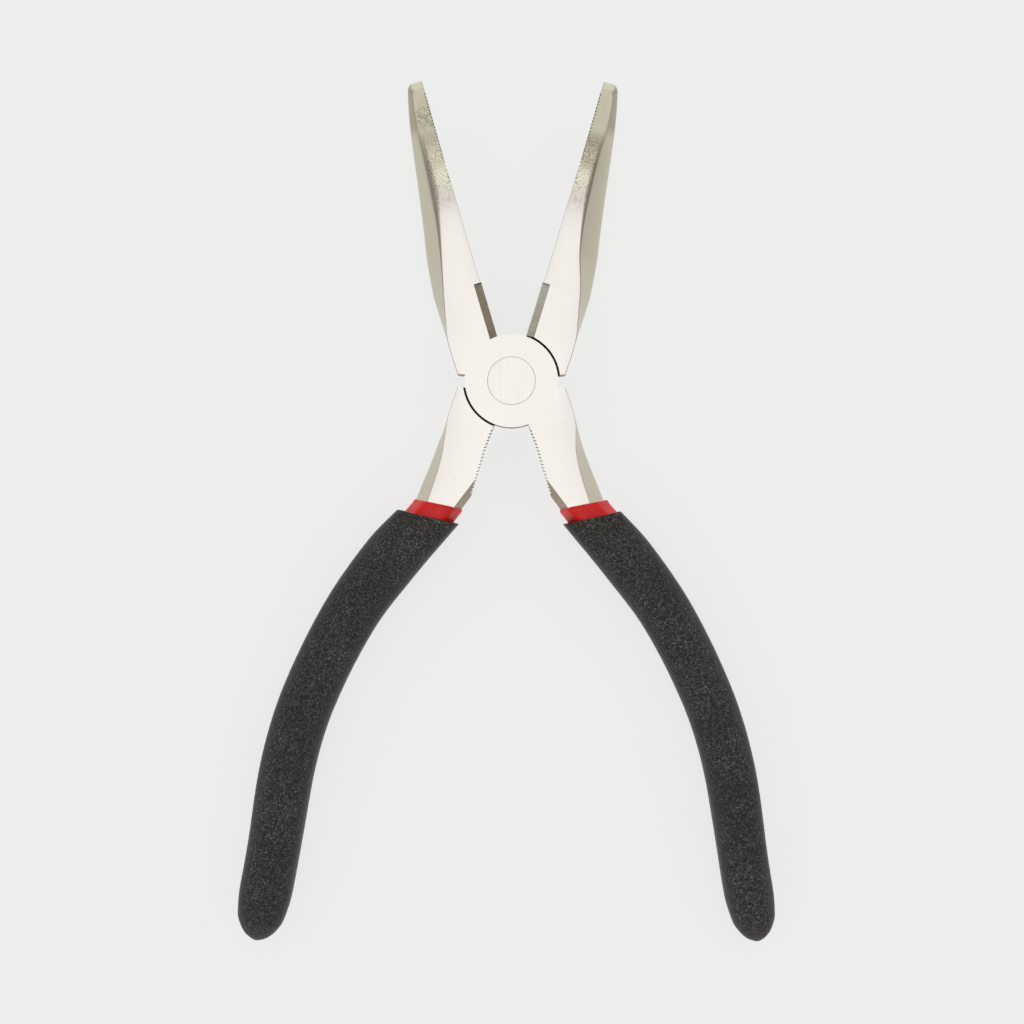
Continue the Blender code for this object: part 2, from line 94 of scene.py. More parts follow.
# Name, side of its jaw, and whether it has the upper half of the lap joint
LEVERS = (("front", -1, True), ("rear", 1, False))


def metres(*distances):
    """Distances in millimetres, turned into metres."""
    return tuple(distance * MM for distance in distances)


def rows_in_metres(*rows):
    """Rows of a place and lengths in millimetres, with the lengths in metres."""
    return tuple((place, *metres(*lengths)) for place, *lengths in rows)


# Along the jaw from the end of the cutters (0) to the tip (1): share of the width, width of the
# flank's slope, share of the thickness, and reach of the rounding between flat and flank
JAW_STATIONS = (
    (0.00, 1.000, 2.30 * MM, 1.000, 0.20 * MM),
    (0.16, 0.896, 3.20 * MM, 1.000, 0.35 * MM),
    (0.32, 0.721, 3.30 * MM, 0.984, 0.80 * MM),
    (0.48, 0.558, 3.00 * MM, 0.870, 1.45 * MM),
    (0.63, 0.416, 2.40 * MM, 0.645, 1.20 * MM),
    (0.77, 0.279, 1.70 * MM, 0.355, 1.30 * MM),
    (0.89, 0.143, 1.15 * MM, 0.160, 1.20 * MM),
    (1.00, 0.000, 0.65 * MM, 0.000, 0.90 * MM),
)
# The rear jaw's flank along the same way: where it widens and narrows again, how much wider it
# is, and how much shorter its rounding
REAR_FLANK_GROWS, REAR_FLANK_ENDS = 0.20, (0.65, 0.90)
REAR_FLANK_WIDER, REAR_ROUNDING_LESS = 0.27, 0.45
# From the pivot (0) to the end of the cutters (1): width beyond the head's, and flank slope
ROOT_STATIONS = rows_in_metres((0.00, -0.05, 0.00), (0.55, 0.00, 0.02), (0.75, 0.10, 1.00), (1.00, 0.15, 2.30))
# From the pivot (0) to the sleeve (1): inner edge beyond half the neck gap, slope outside, and
# outer edge beyond the head's
NECK_STATIONS = rows_in_metres(
    (0.00, 0.00, 0.00, -0.10),
    (0.36, 0.02, 0.10, 0.15),
    (0.50, 0.30, 0.78, 0.15),
    (0.63, 0.26, 1.45, 0.30),
    (0.73, 0.28, 1.80, 0.50),
    (0.83, 0.30, 2.05, 0.80),
)
NECK_MOUTH_SLOPES = (1.90 * MM, 2.35 * MM)
# By the lever's side: how much wider its neck's outer slope is, and how far out the edge
UNEVEN_NECKS = {-1: (0.38, -0.25 * MM), 1: (0.15, 0.25 * MM)}
# From the sleeve's mouth (0) to the end of the grip (1): how far the handle's middle line stands
# from the plane between the closed handles
HANDLE_BOW = rows_in_metres(
    (0.00, 7.60), (0.13, 13.35), (0.275, 18.45), (0.465, 21.80), (0.61, 21.95), (0.80, 19.55), (1.00, 17.50)
)
MOUTH_BOW = HANDLE_BOW[0][1]
# How far each corner of the sleeve's rim is rounded
SLEEVE_CORNERS = metres(2.6, 1.1, 1.5, 2.6, 2.6, 1.5, 1.1, 2.6)
# From the mouth (0) to the end of the grip (1): width beyond the grip's own
GRIP_BULGE = rows_in_metres(
    (0.00, 0.50),
    (0.10, 1.20),
    (0.22, 0.75),
    (0.33, 0.50),
    (0.50, 0.30),
    (0.68, 0.20),
    (0.80, -0.15),
    (1.00, -0.20),
)
# From the mouth (0) to the end of the grip (1): how far the hand-fitted rear and front grips sit
# outwards
GRIP_SHIFT = rows_in_metres(
    (0.00, 0.15, -0.25),
    (0.12, 0.55, 0.00),
    (0.50, 0.66, 0.00),
    (0.75, 0.60, 0.00),
    (0.88, 0.42, -0.40),
    (1.00, 0.45, -0.40),
)
# From the tip of the grip: distance, and share of the full width there
GRIP_END = (
    (0.00 * MM, 0.00),
    (0.15 * MM, 0.10),
    (0.35 * MM, 0.19),
    (0.80 * MM, 0.33),
    (1.30 * MM, 0.455),
    (2.10 * MM, 0.58),
    (3.00 * MM, 0.69),
    (4.75 * MM, 0.845),
    (6.50 * MM, 0.91),
    (8.30 * MM, 0.955),
    (10.0 * MM, 0.985),
    (12.0 * MM, 1.00),
)
END_LENGTH = GRIP_END[-1][0]
GRIP_STEP, GRIP_SIDES = 0.33 * MM, 112
GRIP_SQUARE_LENGTH = 14 * MM  # over which the mouth's squarer section settles
GRIP_FIT = 0.12 * MM  # how much tighter than in the frame the grip sits on its sleeve

# From the pivot, where marks, painted shade and a painted reflection on the jaws begin and are full, and where
# they fade and are gone
NOSE_ZONE = metres(40.0, 49.0)
TIP_ZONE = metres(57.0, 60.5)
EDGE_REFLECTION_ZONE = metres(10.0, 36.0, 50.0, 56.0)
SPECKLED_ZONE = metres(38.5, 44.0, 53.0, 57.5)
# Painted shade on the bend of the nose
BEND_SHADE_ZONE = metres(47.5, 51.5, 55.0, 59.0)
STREAKED_ZONE = metres(57.5, 60.0, 62.5, 64.5)

# The stage: how bright the sky is from the horizon (0) to the zenith (1), how much of it is lost
# towards the sides, and where the camera looks
SKY = (
    (0.0, 0.56),
    (0.12, 0.50),
    (0.30, 0.46),
    (0.60, 0.43),
    (0.87, 0.35),
    (0.925, 0.40),
    (0.948, 0.58),
    (0.980, 1.0),
)
SKY_STRENGTH = 1.39
SIDE_LOSS, RIGHT_LOSS = 0.45, 0.20
LOSS_RISE = (0.06, 0.34)
FLOOR_GLOW = 0.868
FLOOR_GAP = 0.06 * MM
CAMERA_HEIGHT, CAMERA_ROLL, CAMERA_LENS = 0.610, math.radians(0.25), 95.4
CAMERA_CENTRE = Vector((0.11 * MM, -29.03 * MM, 0))


def length(title, text, millimetres):
    return FloatProperty(
        name=title,
        description=text,
        default=millimetres * MM,
        min=0.0,
        subtype="DISTANCE",
        unit="LENGTH",
        precision=5,
    )


def angle(title, text, degrees):
    return FloatProperty(
        name=title, description=text, default=math.radians(degrees), subtype="ANGLE", unit="ROTATION"
    )


def colour(title, text, value):
    return FloatVectorProperty(
        name=title, description=text, default=value, min=0.0, max=1.0, size=3, subtype="COLOR"
    )


class PliersSizes(bpy.types.PropertyGroup):
    """Sizes of the pliers."""

    head_thickness: length("Head thickness", "Thickness of the joint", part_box("pivot_rivet")[1].z / MM)
    disc_radius: length("Disc radius", "Round half of the lap joint", 10.3)
    shoulder_width: length("Shoulder width", "How far jaw and neck stand out beside the disc", 0.8)
    pocket_clearance: length("Pocket clearance", "Gap around the other lever's disc", 0.50)
    lap_clearance: length("Lap clearance", "Gap between the two lap faces", 0.3)
    rivet_head: length("Rivet head", "Radius of the flush rivet head", 5.3)
    rivet_shank: length("Rivet shank", "Radius of the rivet between its heads", 3.5)
    rivet_depth: length("Rivet head depth", "Depth of the countersunk head", 1.6)
    rivet_seam: length("Rivet seam", "Width of the fine line around the rivet", 0.04)
    nose_length: length("Nose length", "Along the jaw from the pivot to the tip", 70.6)
    tip_width: length("Tip width", "Width of one jaw at its tip", 3.55)
    tip_thickness: length("Tip thickness", "Thickness of a jaw at its tip", 3.8)
    bend_length: length("Bend length", "Length of jaw that bends", 27.0)
    bend_angle: angle("Bend angle", "How far the nose bends up", 45.0)
    closed_gap: length("Closed gap", "Gap between the closed jaws", 0.3)
    jaw_relief: length("Jaw relief", "How far the jaw faces fall away behind the tip", 0.3)
    cutter_length: length("Cutter length", "Length of the cutting edge", 12.0)
    cutter_bevel: length("Cutter bevel", "Width of the cutter's bevel in the flat", 1.8)
    tooth_pitch: length("Tooth pitch", "Spacing of the jaw teeth", 0.885)
    tooth_width: length("Tooth width", "Width of a tooth's groove", 0.6)
    tooth_depth: length("Tooth depth", "Depth of a tooth's groove", 0.4)
    toothed_length: length("Toothed length", "Length of jaw with teeth", 23.5)
    neck_length: length("Neck length", "From the disc to the sleeve", 21.3)
    neck_width: length("Neck width", "Width of a neck at the sleeve", 9.7)
    neck_gap: length("Neck gap", "Gap between the closed necks", 1.6)
    bevel_start: length("Neck bevel start", "From the pivot to the bevel inside a neck", 23.4)
    bevel_inset: length("Neck bevel inset", "Where the bevel starts in the flat", 1.35)
    bevel_width: length("Neck bevel width", "Width of the bevel seen from above", 1.6)
    bevel_angle: angle("Neck bevel angle", "How fast the bevel runs outwards", 20.3)
    pipe_pitch: length("Pipe grip pitch", "Spacing of the pipe grip's teeth", 0.79)
    pipe_width: length("Pipe grip groove", "Width of a pipe grip groove", 0.62)
    pipe_depth: length("Pipe grip depth", "Depth of a pipe grip groove", 0.45)
    pipe_length: length("Pipe grip length", "Length of neck with pipe grip teeth", 14.3)
    handle_length: length("Handle length", "From the pivot to the end of the grip", 135.3)
    mouth_tilt: angle("Mouth tilt", "Slant of the sleeve's mouth", 5.5)
    mouth_turn: length("Mouth turn", "Length over which the sections turn square", 18.0)
    tang_width: length("Tang width", "Width of the steel inside the grip", 6.4)
    tang_thickness: length("Tang thickness", "Thickness of the steel inside the grip", 5.6)
    sleeve_clearance: length("Sleeve clearance", "Gap between steel and sleeve", 0.25)
    sleeve_wall: length("Sleeve wall", "Wall of the red sleeve", 0.6)
    sleeve_rise: length("Sleeve rise", "How far the rim stands beyond the mouth", 0.8)
    sleeve_showing: length("Sleeve showing", "Length of red sleeve above the grip", 2.6)
    grip_clearance: length("Grip clearance", "Gap between sleeve and grip", 0.25)
    grip_lip: length("Grip lip", "Wall of the grip at its mouth", 0.45)
    grip_width: length("Grip width", "Width of the black grip", 11.4)
    rear_grip_extra: length("Rear grip extra", "How much wider the rear grip is", 0.55)
    rear_grip_longer: length("Rear grip longer", "How much longer the rear grip is", 0.45)
    front_grip_less: length("Front grip less", "How much narrower the front grip is", 0.25)
    grip_swell: length("Grip swell", "Length over which the mouth settles to the grip", 26.0)
    grip_thickness: length("Grip thickness", "Thickness of the black grip", 12.0)
    foam_height: length("Foam height", "Height of the foam texture", 0.11)


class PliersColours(bpy.types.PropertyGroup):
    """Colours of the finishes."""

    nickel_flat: colour("Ground nickel", "Flats of the head and jaws", (0.845, 0.824, 0.795))
    # Painted shade: the sloping sides take this darker tan in place of the flat nickel, standing in for the
    # shade they reflect
    flank_painted_shade: colour("Flank nickel", "Sloping sides of jaws and necks", (0.600, 0.560, 0.450))
    nickel_nose: colour("Nose nickel", "Cross-ground flats of the bent nose", (0.96, 0.93, 0.76))
    # Painted shade and painted light: both cutter bevels are one ground steel, the front coloured darker and
    # the rear paler as for a light from one side
    front_cutter_painted_shade: colour("Cutter steel", "Bevel of the front cutter", (0.28, 0.22, 0.135))
    rear_cutter_painted_light: colour("Rear cutter steel", "Bevel of the rear cutter", (0.56, 0.53, 0.43))
    bevel_steel: colour("Neck bevel steel", "Ground bevels inside the necks", (0.40, 0.335, 0.225))
    # Painted shade: the grooves of the teeth are coloured near-black for the shade inside them
    groove_painted_shade: colour("Groove steel", "Cut grooves of the teeth", (0.12, 0.09, 0.06))
    # Painted shade: near-black steel on the lap faces, the gap walls and the bore stands in for the shade
    # inside the joint's gaps
    lap_painted_shade: colour("Lap steel", "Milled faces and gaps of the lap joint", (0.10, 0.085, 0.07))
    # Brown streaks near the tip, on the front jaw's flats only
    brown_streak: colour("Heat stain", "Brown streaks near the tips", (0.40, 0.32, 0.22))
    brush_shade: colour("Brush lines", "Darkest brush lines", (0.62, 0.55, 0.45))
    cloud_shade: colour("Cloudy patches", "Slightly dull patches of nickel", (0.72, 0.66, 0.56))
    grinding_shade: colour("Grinding marks", "Cross marks on the bent nose", (0.34, 0.30, 0.21))
    # Painted shade: dark patches on the bent nose stand in for the bend turning away from the light overhead
    bend_painted_shade: colour("Burnt patches", "Dark patches on the bent nose", (0.33, 0.29, 0.20))
    # Painted reflection: the rounded edge between flat and flank is darkened for the dark surroundings it
    # reflects
    edge_painted_reflection: colour("Dark edges", "Rounded edge between flat and flank", (0.26, 0.22, 0.15))
    speck_shade: colour("Steel specks", "Small specks on the nickel", (0.35, 0.30, 0.24))
    red_vinyl: colour("Red vinyl", "Inner sleeve", (0.95, 0.024, 0.022))
    black_vinyl: colour("Black vinyl", "Foamed outer grip", (0.0125, 0.0115, 0.010))
    # Pale foam specks, also painted as sheen where the grip faces up
    foam_speck_and_sheen: colour("Foam specks", "Pale specks of the foam", (0.42, 0.40, 0.36))
    floor: colour("Floor", "Studio floor", (0.847, 0.847, 0.847))


# ---------------------------------------------------------------- curves


def ease(t):
    """0 below 0, 1 above 1, and a smooth step between."""
    t = min(max(t, 0.0), 1.0)
    return t * t * (3 - 2 * t)


def smooth(rows, at):
    """Values at a place along rows of (place, value, ...), joined by smooth curves."""
    at = min(max(at, rows[0][0]), rows[-1][0])
    i = max(k for k in range(len(rows) - 1) if rows[k][0] <= at)
    span = rows[i + 1][0] - rows[i][0]
    t = (at - rows[i][0]) / span
    shares = 2 * t**3 - 3 * t**2 + 1, t**3 - 2 * t**2 + t, 3 * t**2 - 2 * t**3, t**3 - t**2

    def slope(k, column):
        low, high = max(k - 1, 0), min(k + 1, len(rows) - 1)
        return (rows[high][column] - rows[low][column]) / (rows[high][0] - rows[low][0]) * span

    values = []
    for column in range(1, len(rows[0])):
        ends = rows[i][column], slope(i, column), rows[i + 1][column], slope(i + 1, column)
        values.append(sum(share * end for share, end in zip(shares, ends)))
    return values


def steps(first, last, longest):
    """Evenly spaced places from first to last, no further apart than longest."""
    count = max(1, math.ceil(abs(last - first) / longest))
    return [first + (last - first) * i / count for i in range(count + 1)]


def rounded(corners, reaches, count=4):
    """An outline through corners, each rounded over its own reach along both edges."""
    corners = [Vector(corner) for corner in corners]
    outline = []
    for i, corner in enumerate(corners):
        before, after = corners[i - 1] - corner, corners[(i + 1) % len(corners)] - corner
        start = corner + before.normalized() * min(reaches[i], before.length * 0.45)
        end = corner + after.normalized() * min(reaches[i], after.length * 0.45)
        for step in range(count + 1):
            t = step / count
            outline.append(start * (1 - t) ** 2 + corner * (2 * t * (1 - t)) + end * t * t)
    return outline


def mirrored_below(corners):
    """Corners above the middle, and the same below it, in order round the outline."""
    return [*corners, *((x, -z) for x, z in reversed(corners))]


def grown(corners, by):
    """A clockwise convex outline with every edge moved outwards."""
    corners = [Vector(corner) for corner in corners]
    moved = []
    for i, corner in enumerate(corners):
        before = (corner - corners[i - 1]).normalized()
        after = (corners[(i + 1) % len(corners)] - corner).normalized()
        first, second = Vector((-before.y, before.x)), Vector((-after.y, after.x))
        moved.append(corner + (first + second) * by / (1 + first.dot(second)))
    return moved


def oval_outline(half_width, half_thickness, power, count):
    """A superellipse: power 2 is an ellipse, and more is squarer."""
    outline = []
    for i in range(count):
        turn = 2 * math.pi * (i + 0.5) / count
        wide = math.copysign(abs(math.cos(turn)) ** (2 / power), math.cos(turn))
        high = math.copysign(abs(math.sin(turn)) ** (2 / power), math.sin(turn))
        outline.append(Vector((wide * half_width, high * half_thickness)))
    return outline


def reach_towards(outline, direction):
    """How far an outline around the origin is in a direction."""
    for first, second in zip(outline, [*outline[1:], outline[0]]):
        edge = second - first
        across = direction.x * edge.y - direction.y * edge.x
        if abs(across) < 1e-12:
            continue
        far = (first.x * edge.y - first.y * edge.x) / across
        along = (first.x * direction.y - first.y * direction.x) / across
        if far > 0 and -1e-9 <= along <= 1 + 1e-9:
            return far
    raise ValueError("the outline doesn't go round the origin")


class Shape:
    """Where the surfaces of one lever and its handle run, in the closed pliers."""

    def __init__(self, sizes, side):
        self.size = sizes
        self.side = side
        self.middle = sizes.head_thickness / 2
        self.head_half_width = sizes.disc_radius + sizes.shoulder_width
        self.shoulder_lean = math.tan((OPENING + STOP_TRAVEL + STOP_CLEARANCE) / 2)
        self.cutter_end = sizes.disc_radius + sizes.pocket_clearance + sizes.cutter_length
        self.bend_start = sizes.nose_length - sizes.bend_length
        self.mouth = sizes.disc_radius + sizes.neck_length
        self.grip_mouth = self.mouth + sizes.sleeve_showing
        self.sleeve_end = sizes.handle_length - 3.0 * MM
        self.grip_end = sizes.handle_length + (sizes.rear_grip_longer if side > 0 else 0.0)
        self.tang_end = self.sleeve_end - 3.0 * MM

    # The jaw

    def jaw_slope(self, s):
        """How steeply the jaw rises at a length s along it."""
        return self.size.bend_angle * ease((s - self.bend_start) / self.size.bend_length)

    def jaw_middle(self, s):
        """Y and Z of the jaw's middle line at a length s along it from the pivot."""
        y, z = min(s, self.bend_start), self.middle
        count = math.ceil(max(s - self.bend_start, 0) / (0.5 * MM))
        for i in range(count):
            step = (s - self.bend_start) / count
            slope = self.jaw_slope(self.bend_start + step * (i + 0.5))
            y += step * math.cos(slope)
            z += step * math.sin(slope)
        return y, z

    def jaw_face(self, s):
        """How far the jaw's inner face is from the plane between the closed jaws."""
        fall = (self.size.nose_length - s) / (self.size.nose_length - self.cutter_end)
        return self.size.closed_gap / 2 + (self.size.jaw_relief * fall if s > self.cutter_end else 0)

    def jaw_frame(self, s):
        """The point on the jaw's middle line, and the jaw's cross direction there."""
        y, z = self.jaw_middle(s)
        slope = self.jaw_slope(s)
        return Vector((0, y, z)), Vector((0, -math.sin(slope), math.cos(slope)))

    def jaw_outline(self, s, shrink=0.0):
        """The section's outline as (distance from the plane between the jaws, height)."""
        sizes = self.size
        widest = self.head_half_width + ROOT_STATIONS[-1][1]
        if s < self.cutter_end:
            wider, flank = smooth(ROOT_STATIONS, s / self.cutter_end)
            outer, half, reach = self.head_half_width + wider, self.middle, JAW_STATIONS[0][4]
        else:
            place = (s - self.cutter_end) / (sizes.nose_length - self.cutter_end)
            width, flank, thickness, reach = smooth(JAW_STATIONS, place)
            if self.side > 0:
                ending, ended = REAR_FLANK_ENDS
                spread = ease(place / REAR_FLANK_GROWS) * (1 - ease((place - ending) / (ended - ending)))
                flank *= 1 + REAR_FLANK_WIDER * spread
                reach *= 1 - REAR_ROUNDING_LESS * spread
            outer = sizes.tip_width + (widest - sizes.tip_width) * width
            thin = sizes.tip_thickness / 2
            half = thin + (self.middle - thin) * thickness
        outer, half, inner = outer - shrink, half - shrink, self.jaw_face(s) + shrink * INNER_ROUNDING
        ridge = min(RIDGE, half / 2)
        corners = (
            (inner, -half),
            (inner, half),
            (outer - flank, half),
            (outer, ridge),
            (outer, -ridge),
            (outer - flank, -half),
        )
        soft = 1.2 * MM
        return rounded(corners, (CRISP, CRISP, reach, soft, soft, reach), 5)

    def jaw_section(self, s, shrink=0.0):
        """The outline in its place; near the pivot it leans back to the stop of the shoulder."""
        start, across = self.jaw_frame(s)
        lean = self.shoulder_lean * (1 - ease(s / self.size.disc_radius))
        return [
            start + Vector((self.side * x, lean * x, 0)) + across * z for x, z in self.jaw_outline(s, shrink)
        ]

    # The neck

    def mouth_corners(self):
        """The neck's section where it enters the sleeve, around the handle's middle line."""
        half, cosine = self.size.neck_width / 2, math.cos(self.size.mouth_tilt)
        inside, outside = NECK_MOUTH_SLOPES
        corners = (
            (-half, RIDGE),
            (inside - half, self.middle),
            (half - outside, self.middle),
            (half, RIDGE),
        )
        return mirrored_below([(x / cosine, z) for x, z in corners])

    def neck_corners(self, b):
        """The neck's section as (distance from the plane between the necks, height)."""
        sizes = self.size
        rows = [
            (place, sizes.neck_gap / 2 + inner, outside, self.head_half_width + outer)
            for place, inner, outside, outer in NECK_STATIONS
        ]
        mouth_outer = MOUTH_BOW + sizes.neck_width / 2
        rows.append((1.0, rows[-1][1], NECK_MOUTH_SLOPES[1], mouth_outer))
        inner, outside, outer = smooth(rows, min(b / self.mouth, 1.0))
        wider, further = UNEVEN_NECKS[self.side]
        uneven = ease((b / self.mouth - 0.4) / 0.2)
        outside, outer = outside * (1 + wider * uneven), outer + further * uneven
        return mirrored_below([(inner, self.middle), (outer - outside, self.middle), (outer, RIDGE)])

    def neck_place(self, b, x, z):
        """A point of the neck's section at b behind the pivot."""
        last = NECK_STATIONS[-1][0]
        lean = self.shoulder_lean * (1 - ease(b / self.size.disc_radius))
        tilt = math.tan(self.size.mouth_tilt) * ease((b / self.mouth - last) / (1 - last))
        back = b + lean * x + tilt * (x - MOUTH_BOW)
        return Vector((-self.side * x, -back, self.middle + z))

    def neck_section(self, b):
        soft, ridge = 0.12 * MM, 1.0 * MM
        reaches = (CRISP, soft, ridge, ridge, soft, CRISP)
        return [self.neck_place(b, x, z) for x, z in rounded(self.neck_corners(b), reaches)]

    # The handle

    def handle_bow(self, b):
        """How far the handle's middle line stands out at a distance b behind the pivot."""
        return smooth(HANDLE_BOW, (b - self.mouth) / (self.size.handle_length - self.mouth))[0]

    def handle_angles(self, b):
        """The slant of a section, and how far that is from square to the middle line."""
        step = 0.5 * MM
        low, high = max(b - step, self.mouth), min(b + step, self.size.handle_length)
        square = -math.atan((self.handle_bow(high) - self.handle_bow(low)) / (high - low))
        turned = ease((b - self.mouth) / self.size.mouth_turn)
        slant = self.size.mouth_tilt + (square - self.size.mouth_tilt) * turned
        return slant, slant - square

    def handle_section(self, b, outline, shift=0.0):
        """An outline set across the handle, moved outwards by shift."""
        slant = self.handle_angles(b)[0]
        across = Vector((-self.side * math.cos(slant), -math.sin(slant), 0))
        centre = Vector((-self.side * self.handle_bow(b), -b, self.middle))
        return [centre + across * (x + shift) + Vector((0, 0, z)) for x, z in outline]

    def steel_size(self, b, end):
        """Half width and half thickness of the room for neck and tang in the sleeve."""
        straight, narrowing, end_length, end_loss = 4 * MM, 8 * MM, 8 * MM, 0.4
        shrink = ease((b - self.mouth - straight) / narrowing)
        taper = 1 - end_loss * ease((b - end + end_length) / end_length)
        wide = self.size.neck_width / 2 / math.cos(self.size.mouth_tilt)
        half_width = wide + (self.size.tang_width / 2 - wide) * shrink
        half_thickness = self.middle + (self.size.tang_thickness / 2 - self.middle) * shrink
        return half_width * taper, half_thickness * taper

    def sleeve_room(self, b, grow):
        """The outline of the neck and tang with a margin: it hugs the neck's corners at the mouth."""
        half_width, half_thickness = self.steel_size(b, self.sleeve_end)
        soft = oval_outline(half_width + grow, half_thickness + grow, OVAL, 48)
        hugging_length, fading = 1.5 * MM, 9 * MM
        share = 1 - ease((b - self.mouth - hugging_length) / fading)
        if share == 0:
            return soft
        hugging = rounded(grown(self.mouth_corners(), grow), SLEEVE_CORNERS, 6)
        outline = []
        for point in soft:
            direction = point.normalized()
            far = reach_towards(hugging, direction)
            outline.append(direction * (far * share + point.length * (1 - share)))
        return outline

    def grip_room(self, b):
        """Half width and half thickness of the hollow of the grip."""
        half_width, half_thickness = self.steel_size(b, self.sleeve_end)
        wall = self.size.sleeve_clearance + self.size.sleeve_wall + self.size.grip_clearance
        return half_width + wall, half_thickness + wall

    def grip_place(self, b):
        """0 at the grip's mouth and 1 at its end."""
        return (b - self.grip_mouth) / (self.grip_end - self.grip_mouth)

    def grip_shift(self, b):
        rear, front = smooth(GRIP_SHIFT, self.grip_place(b))
        return rear if self.side > 0 else front

    def grip_size(self, b):
        """Half width and half thickness of the grip."""
        lip = self.size.grip_lip
        least = [half + lip for half in self.grip_room(b)]
        mouth = self.grip_room(self.grip_mouth)[1] + lip
        settled = min(max((b - self.grip_mouth) / self.size.grip_swell, 0.0), 1.0)
        square_width = self.size.grip_width + smooth(GRIP_BULGE, self.grip_place(b))[0]
        square_width += self.size.rear_grip_extra if self.side > 0 else -self.size.front_grip_less
        width = max(square_width / 2 / math.cos(self.handle_angles(b)[1]), least[0])
        thickness = max(mouth + (self.size.grip_thickness / 2 - mouth) * settled, least[1])
        return width, thickness


# ---------------------------------------------------------------- modelling


def choose(*objects):
    """Selects these objects only, the first one active."""
    bpy.ops.object.select_all(action="DESELECT")
    for chosen in objects:
        chosen.select_set(True)
    bpy.context.view_layer.objects.active = objects[0]


def edit(made):
    """Opens a piece in edit mode with all of it selected."""
    choose(made)
    bpy.ops.object.mode_set(mode="EDIT")
    bpy.ops.mesh.select_all(action="SELECT")


def leave_edit():
    """Points all faces outwards and leaves edit mode."""
    bpy.ops.mesh.select_all(action="SELECT")
    bpy.ops.mesh.normals_make_consistent(inside=False)
    bpy.ops.object.mode_set(mode="OBJECT")


def added(name, *finishes):
    """Names the primitive that was just added and gives it its finishes."""
    made = bpy.context.object
    made.name = made.data.name = name
    for finish in finishes:
        made.data.materials.append(finish)
    return made


def modify(made, kind, **settings):
    """Adds a modifier and applies it."""
    choose(made)
    bpy.ops.object.modifier_add(type=kind)
    modifier = made.modifiers[-1]
    for name, value in settings.items():
        setattr(modifier, name, value)
    bpy.ops.object.modifier_apply(modifier=modifier.name)


def combine(made, operation, other):
    """Joins another solid to a piece, or cuts its room from it. The other is used up."""
    modify(made, "BOOLEAN", operation=operation, object=other, solver="EXACT", material_mode="TRANSFER")
    bpy.data.objects.remove(other)


def place_at_origin(made):
    """Moves a piece's place and turn into its mesh."""
    choose(made)
    bpy.ops.object.transform_apply(location=True, rotation=True, scale=True)


def loft(name, sections, finish, end_finish=None):
    """A closed skin over sections with the same number of points: a grid, wrapped and sewn. Its
    first end may have a finish of its own."""
    around = len(sections[0])
    bpy.ops.object.select_all(action="DESELECT")
    bpy.ops.mesh.primitive_grid_add(
        x_subdivisions=around, y_subdivisions=len(sections) - 1, size=0.1, location=(0, 0, 0)
    )
    made = added(name, finish)
    places = [place for section in sections for place in (*section, section[0])]
    made.data.vertices.foreach_set("co", [number for place in places for number in place])
    edit(made)
    bpy.ops.mesh.remove_doubles(threshold=0.000001)
    bpy.ops.mesh.select_all(action="DESELECT")
    bpy.ops.mesh.select_mode(type="EDGE")
    bpy.ops.mesh.select_non_manifold()
    bpy.ops.mesh.fill_holes(sides=0)
    bpy.ops.mesh.select_mode(type="VERT")
    leave_edit()
    if end_finish is not None:
        made.data.materials.append(end_finish)
        first, last = (sum(section, Vector()) / around for section in (sections[0], sections[-1]))
        for face in made.data.polygons:
            near = (face.center - first).length < (face.center - last).length
            face.material_index = int(near and len(face.vertices) > 4)
    return made


def drum(name, radius, low, high, finish, side_finish, segments=200):
    """An upright cylinder about Z, with a finish for its ends and one for its side."""
    bpy.ops.object.select_all(action="DESELECT")
    bpy.ops.mesh.primitive_cylinder_add(
        vertices=segments, radius=radius, depth=high - low, location=(0, 0, (low + high) / 2)
    )
    made = added(name, finish, side_finish)
    for face in made.data.polygons:
        face.material_index = int(abs(face.normal.z) < 0.5)
    place_at_origin(made)
    return made


def turned(name, profile, finish, segments=128):
    """A solid of revolution about Z, extruded ring by ring from its lowest face up."""
    radius, height = profile[0]
    bpy.ops.object.select_all(action="DESELECT")
    bpy.ops.mesh.primitive_circle_add(
        vertices=segments, radius=radius, fill_type="NGON", location=(0, 0, height)
    )
    made = added(name, finish)
    place_at_origin(made)
    edit(made)
    for next_radius, next_height in profile[1:]:
        bpy.ops.mesh.extrude_region_move(TRANSFORM_OT_translate={"value": (0, 0, next_height - height)})
        share = next_radius / radius
        bpy.ops.transform.resize(value=(share, share, 1), center_override=(0, 0, next_height))
        radius, height = next_radius, next_height
    leave_edit()
    return made


def groove_row(name, places, width, depth, half, finish):
    """V grooves: one three-sided bar, copied to each place, which gives the point on the surface,
    the way into the metal and the way along the groove."""
    above = 0.05 * MM
    tall = depth + above
    bpy.ops.object.select_all(action="DESELECT")
    bpy.ops.mesh.primitive_cylinder_add(vertices=3, radius=1, depth=2 * half, location=(0, 0, 0))
    bar = added(name, finish)
    # The bar's section has its point at +X, in the metal, and its back at -X, above the surface.
    points = [vertex.co.copy() for vertex in bar.data.vertices]
    turn = Matrix.Rotation(-math.pi / 2, 3, "Z")
    for vertex, point in zip(bar.data.vertices, points):
        point = turn @ point
        share = (point.x + 0.5) / 1.5
        wide = point.y / (math.sqrt(3) / 2) if abs(point.y) > 1e-6 else 0
        vertex.co = Vector((share * tall - above, wide * width / 2 * tall / depth, point.z))
    copies = []
    for point, into, along in places:
        choose(bar)
        bpy.ops.object.duplicate()
        copy = bpy.context.object
        sideways = along.cross(into)
        turn = Matrix((into, sideways, along)).transposed().to_4x4()
        copy.matrix_world = Matrix.Translation(point) @ turn
        copies.append(copy)
    bpy.data.objects.remove(bar)
    choose(*copies)
    bpy.ops.object.join()
    made = bpy.context.object
    place_at_origin(made)
    edit(made)
    leave_edit()
    return made


